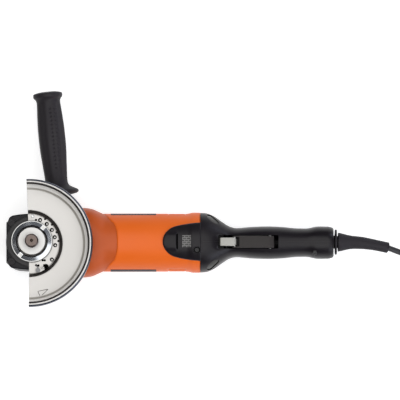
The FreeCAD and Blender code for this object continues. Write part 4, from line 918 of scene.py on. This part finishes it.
# ---- side handle ------------------------------------------------------------------------------------
def make_side_handle():
    """The grip: a profile along its axis, facets round it, two rows of dimples, a flange and a bead."""
    knots = np.array([-15.0, -4.0, -2.4, -1.2, 0.9, 2.4, 6.0, 11.5, 28.0, 48.0, 64.0, 82.0, 96.5, 99.0, 101.6,
                      103.8, 105.8, 106.9])
    radii = np.array([11.0, 12.4, 20.4, 22.3, 22.4, 20.3, 14.0, 11.9, 12.9, 14.2, 14.3, 13.5, 12.6, 13.4,
                      15.4, 15.5, 14.0, 9.0])
    s = np.concatenate([np.linspace(-15, 11.5, 60), np.linspace(11.9, 96, 190), np.linspace(96.4, 106.9, 40)])
    radius = smooth_curve(s, knots, radii)
    turn = full_turn(180)
    grip = np.clip(np.minimum((s - 12) / 8, (97 - s) / 4), 0, 1)[:, None]
    facet = 0.3 * np.cos((turn - math.radians(108)) * 8)[None, :] * grip
    r = radius[:, None] + facet
    step, first, count = 4.24, 25.0, 16      # spacing, place and number of a row's dimples
    for row in (86, 65, 206, 185, 326, 305):
        centre = math.radians(row)
        phase = (s - first) / step
        near = np.abs(phase - np.round(phase)) * step
        ok = (np.round(phase) >= 0) & (np.round(phase) < count)
        gap = (turn - centre + math.pi) % (2 * math.pi) - math.pi
        away = np.hypot(near[:, None], gap[None, :] * 14.0)
        r = r - 0.95 * np.clip(1 - away / 1.3, 0, 1) * ok[:, None]
    along = np.array([-math.sin(GRIP_TILT), math.cos(GRIP_TILT), 0.0])
    side = np.array([math.cos(GRIP_TILT), math.sin(GRIP_TILT), 0.0])
    up = np.array([0.0, 0.0, 1.0])
    rings = (GRIP_BASE + along * s[:, None, None]
             + r[..., None] * (np.cos(turn)[None, :, None] * side + np.sin(turn)[None, :, None] * up))
    grip_piece = solid("side_grip", rings, SOFT_BLACK, 60.0)
    settle(grip_piece, "root", "black_rubber", "side_handle_grip")


# ---- motor housing ----------------------------------------------------------------------------------
def barrel_radius(x):
    """The barrel's radius at places along X: it swells before the handle."""
    return BARREL_R + (BULGE_R - BARREL_R) * soft_step((x - BULGE_X0) / BULGE_LENGTH)


def make_motor_housing():
    """The orange barrel: its flare runs under the barrel along a bowed fold, and its end bulges."""
    x1 = SEAM_X
    xs = np.unique(np.concatenate([np.linspace(BODY_X0, 70, 40), np.linspace(70, 96, 90),
                                   np.linspace(96, 140, 40), np.linspace(140, x1, 90)]))
    turn = full_turn(240)
    clipped = np.clip(xs, BODY_X0, FLARE_SECTIONS[-1, 0])
    half, low, high, square = [smooth_curve(clipped, FLARE_SECTIONS[:, 0], FLARE_SECTIONS[:, k])
                               for k in range(1, 5)]
    y, z = super_ring(turn, half, low, high, square)
    flare_r = np.hypot(y, z - AXIS_Z)
    angle = np.arctan2(z - AXIS_Z, y)
    height = np.abs(np.sin(angle))
    fold = smooth_curve(height.ravel(), FOLD_SINES, FOLD_PLACES)
    fold = fold.reshape(height.shape)
    rise = soft_step((xs[:, None] - fold) / 1.5)
    barrel_r = barrel_radius(xs)[:, None] + 0 * flare_r
    from_side = np.abs(np.abs(angle) - np.where(np.abs(angle) > math.pi / 2, math.pi, 0.0))
    length = np.clip(1 - np.abs(xs - 153.5) / 10.5, 0, 1)
    hollow = soft_step(length * 5)[:, None] * soft_step((math.radians(24) - from_side) / math.radians(3))
    ledge = soft_step(length * 3.2)[:, None] * soft_step((math.radians(15) - from_side) / math.radians(3))
    barrel_r = barrel_r - 0.9 * hollow + 0.7 * ledge * (hollow > 0)
    seam = np.exp(-((angle - math.pi / 2) * BARREL_R / 0.25) ** 2) * 0.06
    sunk = flare_r - 0.5 * soft_step((xs[:, None] - 60) / 20)
    r = sunk + (barrel_r - sunk) * rise - seam
    r = r - 0.5 * soft_step((xs[:, None] - (x1 - 0.8)) / 0.8)
    rings = np.stack([xs[:, None] + 0 * r, r * np.cos(angle), AXIS_Z + r * np.sin(angle)], axis=-1)
    body = solid("motor_shell", rings, ORANGE, 40.0)
    # Faces ahead of the fold take the darker orange: painted shade on the flare.
    body.data.materials.append(SHADED_FLARE_ORANGE)
    for face in body.data.polygons:
        x, y, z = np.array(face.center) / MM
        sine = min(abs(z - AXIS_Z) / math.hypot(y, z - AXIS_Z), 1.0)
        edge = smooth_curve(np.array([sine]), FOLD_SINES, FOLD_PLACES)[0]
        face.material_index = 1 if x < edge + 0.4 else 0
    skin = COVER_SCREW_Z
    body = cut(body, drum("screw_pit", 3.6, skin - 1.2, 80, *COVER_SCREW, 40))
    body.data.set_sharp_from_angle(angle=math.radians(40.0))
    # Painted shadow: a dark disc at the bottom of the screw pit.
    pit = lathe("screw_pit_shadow_floor", [(0.01, skin - 1.4), (3.55, skin - 1.4), (3.55, skin - 0.9),
                                    (0.01, skin - 0.9)], SHADOW_GAP, 40, *COVER_SCREW)
    settle(pit, "root", "black_plastic")
    settle(body, "root", "orange_shell", "motor_housing")


def make_labels():
    """The two dark label strips, one on each side of the barrel."""
    xs = np.linspace(LABEL_X0, LABEL_X1, 40)[:, None]
    for name, middle_angle in (("label_right", -math.pi), ("label_left", 0.0)):
        angle = middle_angle + np.linspace(-LABEL_HALF, LABEL_HALF, 24)[None, :]
        layers = []
        for radius in (BARREL_R - 0.3, BARREL_R + 0.16):
            layers.append(np.stack(np.broadcast_arrays(
                xs, radius * np.cos(angle), AXIS_Z + radius * np.sin(angle)), axis=-1))
        settle(sheet(name, *layers, LABEL), "root", "black_plastic")


# ---- rear handle ------------------------------------------------------------------------------------
def handle_rings(shrink, xs, turn):
    """Rings of the handle's smooth form, shrunk all round."""
    half, low, high = [smooth_curve(xs, HANDLE_SECTIONS[:, 0], HANDLE_SECTIONS[:, k]) for k in (1, 2, 3)]
    square = np.full(len(xs), 2.3)
    end = np.clip((xs - (HANDLE_X1 - 1.8)) / 1.8, 0, 1)
    round_off = 1.6 * (1 - np.sqrt(np.clip(1 - end**2, 0, 1)))
    shrink = shrink + round_off
    y, z = super_ring(turn, half - shrink, low + shrink, high - shrink, square)
    scoop = 3.4 * np.exp(-((xs[:, None] - 197.5) / 3.6) ** 2) * np.exp(-(y / 6.5) ** 4)
    z = z - scoop * (z > AXIS_Z)
    return np.stack([xs[:, None] + 0 * y, y, z], axis=-1)


def make_handle():
    """The two shells: the smooth form hollowed, slotted for the paddle, windowed and split in the middle."""
    turn = full_turn(144)
    end = HANDLE_X1 - 1.8 * (1 - np.sin(np.linspace(0, math.pi / 2, 10)))
    xs = np.concatenate([np.linspace(SEAM_X, HANDLE_X1 - 2.6, 150), end])
    whole = solid("whole", handle_rings(0.0, xs, turn), BLACK, 40.0)
    hollow = solid("hollow", handle_rings(2.4, np.linspace(175.0, 315.0, 90), turn), BLACK)
    whole = cut(whole, hollow)
    whole = cut(whole, brick("slot", 196.9, 261.0, -7.25, 7.25, 40, 80, 2.0))
    for side in (1, -1):
        whole = cut(whole, vent_block(side))
    whole = cut(whole, drum("screw_well", 3.0, 50.5, 70, *HANDLE_SCREW, 32))
    halves = []
    for side, name in ((1, "handle_half_left"), (-1, "handle_half_right")):
        half = whole.copy()
        half.data = whole.data.copy()
        half.name = name
        bpy.context.scene.collection.objects.link(half)
        y0, y1 = (-60, 0.02) if side == 1 else (-0.02, 60)
        half = cut(half, brick("rest", 150, 350, y0, y1, -30, 100))
        soften(half, 0.3, 45.0)
        halves.append(half)
    bpy.data.objects.remove(whole)
    screw = lathe("well_screw", rounded([(0.01, 50.0), (2.4, 50.0), (2.4, 51.3), (1.9, 51.6), (1.1, 51.5),
                                         (0.9, 50.9), (0.01, 50.8)], [0, 0, 0.3, 0.2, 0.2, 0.2, 0], 3),
                  BLACK_OXIDE, 32, *HANDLE_SCREW)
    settle(screw, "root", "steel")
    settle(halves[0], "root", "black_plastic", "handle_shell_left")
    settle(halves[1], "root", "black_plastic", "handle_shell_right")


def vent_outline():
    """The shoulder window's outline seen from above, on the +Y side."""
    return np.array([(185.4, 29.8), (185.6, 25.6), (192.4, 19.8), (197.8, 18.9), (197.8, 21.4),
                     (189.6, 28.9)])


def vent_block(side):
    """The cutter for one shoulder window."""
    outline = vent_outline()[::-1] if side == -1 else vent_outline()
    outline = rounded(outline * np.array([1, side]), 1.2, 3)
    return solid("window", [at_height(outline, z) for z in (34.0, 70.0)], BLACK)


def make_vents():
    """The glossy louvres behind the shoulder windows."""
    turn = full_turn(120)
    for side, name in ((1, "vent_left"), (-1, "vent_right")):
        form = solid(name, handle_rings(0.9, np.linspace(184.0, 199.0, 24), turn), GLOSSY_DARK)
        inner = solid("inner", handle_rings(2.3, np.linspace(183.0, 200.0, 24), turn), GLOSSY_DARK)
        form = cut(form, inner)
        form = cut(form, vent_block(side), "INTERSECT")
        settle(form, "root", "black_plastic", *(["vent_grilles"] if side == 1 else []))


def tongue_outline():
    """The control cover's outline, anticlockwise: a D with its round end to the front."""
    side = np.array([(138.4, 0.0), (138.7, 3.4), (139.9, 6.7), (141.5, 9.3), (143.7, 11.7), (146.4, 13.9),
                     (149.6, 15.6), (155.0, 17.2), (161.0, 18.4), (169.0, 19.6), (SEAM_X + 0.4, 20.5)])
    t = np.linspace(0, 1, 56)
    knots = np.linspace(0, 1, len(side))
    upper = np.column_stack([smooth_curve(t, knots, side[:, 0]), smooth_curve(t, knots, side[:, 1])])
    lower = upper[::-1] * np.array([1, -1])
    back = np.linspace(-20.5, 20.5, 26)[1:-1]
    outline = np.vstack([upper[::-1], lower[::-1][1:]])
    return np.vstack([outline, np.column_stack([np.full(24, SEAM_X + 0.4), back])])


def make_cover():
    """The black tongue: a D of skin over the barrel, domed at its front end with a step behind the dome."""
    outline = tongue_outline()
    count = len(outline)
    centre = np.array([164.0, 0.0])
    shares = np.concatenate([[1.0, 1.0], 1 - np.linspace(0.008, 0.03, 3), np.linspace(0.93, 0.0, 34)])
    rings = []
    for k, share in enumerate(shares):
        flat = centre + (outline - centre) * share
        lift = [0.2, 1.0, 1.6, 1.85, 2.0][k] if k < 5 else 2.1
        x, y = flat[:, 0], flat[:, 1]
        base = barrel_radius(x)
        dome = 1.2 * soft_step((154.0 - x) / 2.0) * soft_step((11.5 - np.abs(y)) / 5.0) * (1 - share**4)
        z = AXIS_Z + np.sqrt(np.maximum(base**2 - y**2, 1)) + lift + dome
        rings.append(np.column_stack([flat, z]))
    rings = np.array(rings)
    under = rings[::-1] - np.array([0.0, 0.0, 3.2])
    points = np.vstack([rings, under]).reshape(-1, 3)
    faces = grid_faces(2 * len(shares), count, wrap_rows=True, wrap_columns=True)
    skin = piece("control_tongue", points, faces, BLACK, 40.0)
    outward(skin)
    skin = cut(skin, drum("screw_well", 3.5, 60, 80, *COVER_SCREW, 40))
    skin = cut(skin, brick("step_line", 152.8, 154.7, -8.6, 8.6, 63.2, 80, 0.8))
    settle(skin, "root", "black_plastic", "control_cover")
    gap = brick("step_shadow", 152.95, 154.55, -8.2, 8.2, 63.1, 64.4, 0.7, SHADOW_GAP)
    settle(gap, "root", "black_plastic")
    ledge = COVER_SCREW_Z + 0.1
    rim = rounded([(3.0, ledge), (3.9, ledge), (3.9, ledge + 2.9), (3.45, ledge + 2.9), (3.2, ledge + 0.8),
                   (3.0, ledge + 0.8)], [0, 0, 0.3, 0.3, 0.3, 0.1], 3)
    well = lathe("screw_well_rim", rim, BLACK, 40, *COVER_SCREW)
    settle(well, "root", "black_plastic")
    screw = rounded([(0.01, ledge - 4), (2.5, ledge - 4), (2.5, ledge + 0.5), (2.1, ledge + 0.8),
                     (1.35, ledge + 0.7), (1.1, ledge - 0.4), (0.01, ledge - 0.5)],
                    [0, 0, 0.3, 0.2, 0.2, 0.2, 0], 3)
    head = lathe("sunk_screw", screw, BLACK_OXIDE, 40, *COVER_SCREW)
    settle(head, "root", "steel", "cover_screw")
    x = np.linspace(-1, 1, 26)[:, None] * 4.55 + 163.7
    y = np.linspace(-1, 1, 34)[None, :] * 6.3 + 0.3
    z = AXIS_Z + np.sqrt(barrel_radius(x)**2 - y**2) + 2.13
    top = np.stack(np.broadcast_arrays(x, y, z), axis=-1)
    plate = sheet("symbol_plate", top, top - np.array([0, 0, 0.3]), SYMBOLS)
    settle(plate, "root", "grey_plastic")


# ---- paddle and lever -------------------------------------------------------------------------------
def side_prism(name, profile, half, finish, round_to=1.0):
    """A block whose side view is a rounded profile of (x, z), its long edges rolled over."""
    outline = rounded(profile, round_to, 4)
    widths = [(half, 0.9), (half - 0.06, 0.5), (half - 0.35, 0.15), (half - 0.9, 0.0)]
    across = [(-half, 0.9), (-half + 0.06, 0.5), (-half + 0.35, 0.15), (-half + 0.9, 0.0)]
    rings = []
    for y, amount in across + widths[::-1]:
        flat = inset(outline, amount)
        rings.append(np.column_stack([flat[:, 0], np.full(len(flat), y), flat[:, 1]]))
    return solid(name, rings, finish, 40.0)


def make_paddle():
    """The long paddle, forked at its front round the lock-off lever."""
    x0, x1, top = PADDLE_LOW[0], PADDLE_HIGH[0], PADDLE_HIGH[2]
    profile = [(x0, 50.5), (x0 + 1.5, 47.0), (236, 47.0), (246, 41.0), (255.0, 41.0), (x1, 44.0), (x1, 55.4),
               (252, 56.8), (236, top), (220, top - 0.4), (x0, 56.2)]
    bar = side_prism("paddle_bar", profile, 6.3, PADDLE_GREY)
    bar = cut(bar, brick("fork", 200, 219.6, -5.15, 5.15, 30, 70, 1.2))
    settle(bar, "paddle_set", "paddle_plastic", "paddle")


def make_lever():
    """The light grey lever: a flat thumb plate with rounded rear corners."""
    x0, top = LEVER_LOW[0], LEVER_HIGH[2] - 0.4
    profile = [(x0, 54.2), (211.0, 54.2), (212.2, 51.0), (214.4, 50.2), (216.0, 51.6), (216.3, 55.0),
               (214.6, 57.4), (212.0, top + 0.3), (x0 + 1, top), (x0, 56.6)]
    plate = side_prism("lock_off_plate", profile, 4.4, LEVER_GREY, 0.8)
    for side in (1, -1):
        corner = brick("corner", 214.6, 222.0, min(side * 3.2, side * 8), max(side * 3.2, side * 8), 40, 70)
        plate = cut(plate, corner)
    settle(plate, "lever", "grey_plastic", "lock_off_lever")


# ---- springs ----------------------------------------------------------------------------------------
def make_spring(name, node, turns):
    """A compression spring in place of its node, wound evenly from the bottom to the top of the node's box.
    """
    wire = 0.5
    low, high = span(node)
    x, y = (low[:2] + high[:2]) / 2
    radius = (high[0] - low[0]) / 2 - wire
    t = np.linspace(0, 1, turns * 24 + 1)
    turn = 2 * math.pi * turns * t
    line = np.stack([x + radius * np.cos(turn), y + radius * np.sin(turn),
                     low[2] + wire + (high[2] - low[2] - 2 * wire) * t], axis=1)
    spring = solid(name, rings_along(line, np.full(len(t), wire), 10), PLAIN_STEEL, 50.0)
    settle(spring, "root", "steel", node)
    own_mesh(spring)


# ---- the rest of the frame's nodes ------------------------------------------------------------------
NODE_FINISH = {
    PLAIN_STEEL: ["housing_screws", "paddle_pin", "lock_off_pin", "lock_pin", "side_handle_stud",
                  "armature_shaft", "crown_gear", "pinion_gear", "spindle_needle_bush",
                  "spindle_bearing_outer", "spindle_bearing_inner", "spindle_bearing_balls",
                  "front_bearing_outer", "front_bearing_inner", "rear_bearing_outer", "rear_bearing_inner"],
    BRIGHT: ["plug_pins"],
    COPPER: ["stator_coils", "armature_windings", "commutator"],
    BRASS: ["brush_holders"],
    LAMINATED: ["stator_core", "armature_core"],
    FELT: ["dust_seal"],
    WHITE_PLASTIC: ["cooling_fan", "baffle_ring"],
    DARK_STEEL: ["guard_latch_pin"],
    BLACK_OXIDE: ["handle_screws"],
    BLACK: ["flange_screws", "lock_button", "switch_body", "switch_plunger", "electronics_module",
            "cable_clamp", "carbon_brushes"],
    SOFT_BLACK: ["rear_bearing_sleeve"],
    STRAP: ["coil_tie"],
}


def finish_nodes():
    """Give every carried-over CAD node its finish."""
    for finish, names in NODE_FINISH.items():
        for name in names:
            NODES[name].data.materials.clear()
            NODES[name].data.materials.append(finish)


# ---- stage ------------------------------------------------------------------------------------------
def make_floor():
    """A wide pale bench."""
    floor_finish = bpy.data.materials.new("pale_floor")
    floor_finish.use_nodes = True
    shader = floor_finish.node_tree.nodes["Principled BSDF"]
    fill(shader, {"Base Color": (0.60, 0.60, 0.60, 1.0), "Roughness": 0.7,
                  "Emission Color": (1.0, 1.0, 1.0, 1.0), "Emission Strength": 0.66})
    size = 4000.0
    floor = piece("floor", [(-size, -size, 0), (size, -size, 0), (size, size, 0), (-size, size, 0)],
                  [[0, 1, 2, 3]], floor_finish)


def make_lights():
    """A soft light overhead, one for the ring's highlight and a bluish pair along the barrel."""
    aim = Vector((177, 0, 30))
    for name, place, width, power, tint in (
            ("top_light", (60, 70, 1500), 1.8, 21.5, (1.0, 0.99, 0.97)),
            ("ring_light", (1080, -860, 1400), 1.6, 11.0, (0.96, 0.98, 1.0)),
            ("left_rim_light", (1050, 850, 480), 0.5, 3.0, (0.80, 0.84, 1.0)),
            ("right_rim_light", (1050, -850, 480), 0.5, 3.0, (0.80, 0.84, 1.0))):
        data = bpy.data.lights.new(name, "AREA")
        data.size = width
        data.energy = power
        data.color = tint
        light = bpy.data.objects.new(name, data)
        bpy.context.scene.collection.objects.link(light)
        light.location = Vector(place) * MM
        light.rotation_mode = "QUATERNION"
        light.rotation_quaternion = (aim - Vector(place)).to_track_quat("-Z", "Y")


def make_surround():
    """A surround that brightens along X."""
    world = bpy.data.worlds.new("surround")
    world.use_nodes = True
    nodes = world.node_tree.nodes
    place = nodes.new("ShaderNodeTexCoord")
    parts = nodes.new("ShaderNodeSeparateXYZ")
    sweep = nodes.new("ShaderNodeMapRange")
    fill(sweep, {"From Min": -0.9, "From Max": 0.9, "To Min": 0.03, "To Max": 0.22})
    link = world.node_tree.links.new
    link(place.outputs["Generated"], parts.inputs["Vector"])
    link(parts.outputs["X"], sweep.inputs["Value"])
    link(sweep.outputs["Result"], nodes["Background"].inputs["Strength"])
    fill(nodes["Background"], {"Color": (0.88, 0.92, 1.0, 1.0)})
    bpy.context.scene.world = world
    bpy.context.scene.view_settings.view_transform = "Standard"


# ---- the whole scene --------------------------------------------------------------------------------
make_camera()
boot = make_boot()
plug = make_plug()
make_cord()
make_gear_housing()
make_bearing_flange()
make_spindle()
make_retainer_ring()
make_guard()
make_index_plate()
make_latch()
make_arrow()
make_side_handle()
make_motor_housing()
make_labels()
make_handle()
make_vents()
make_cover()
make_paddle()
make_lever()
make_spring("button_return_spring", "lock_spring", 5)
make_spring("paddle_return_spring", "paddle_spring", 6)
finish_nodes()
make_floor()
make_lights()
make_surround()
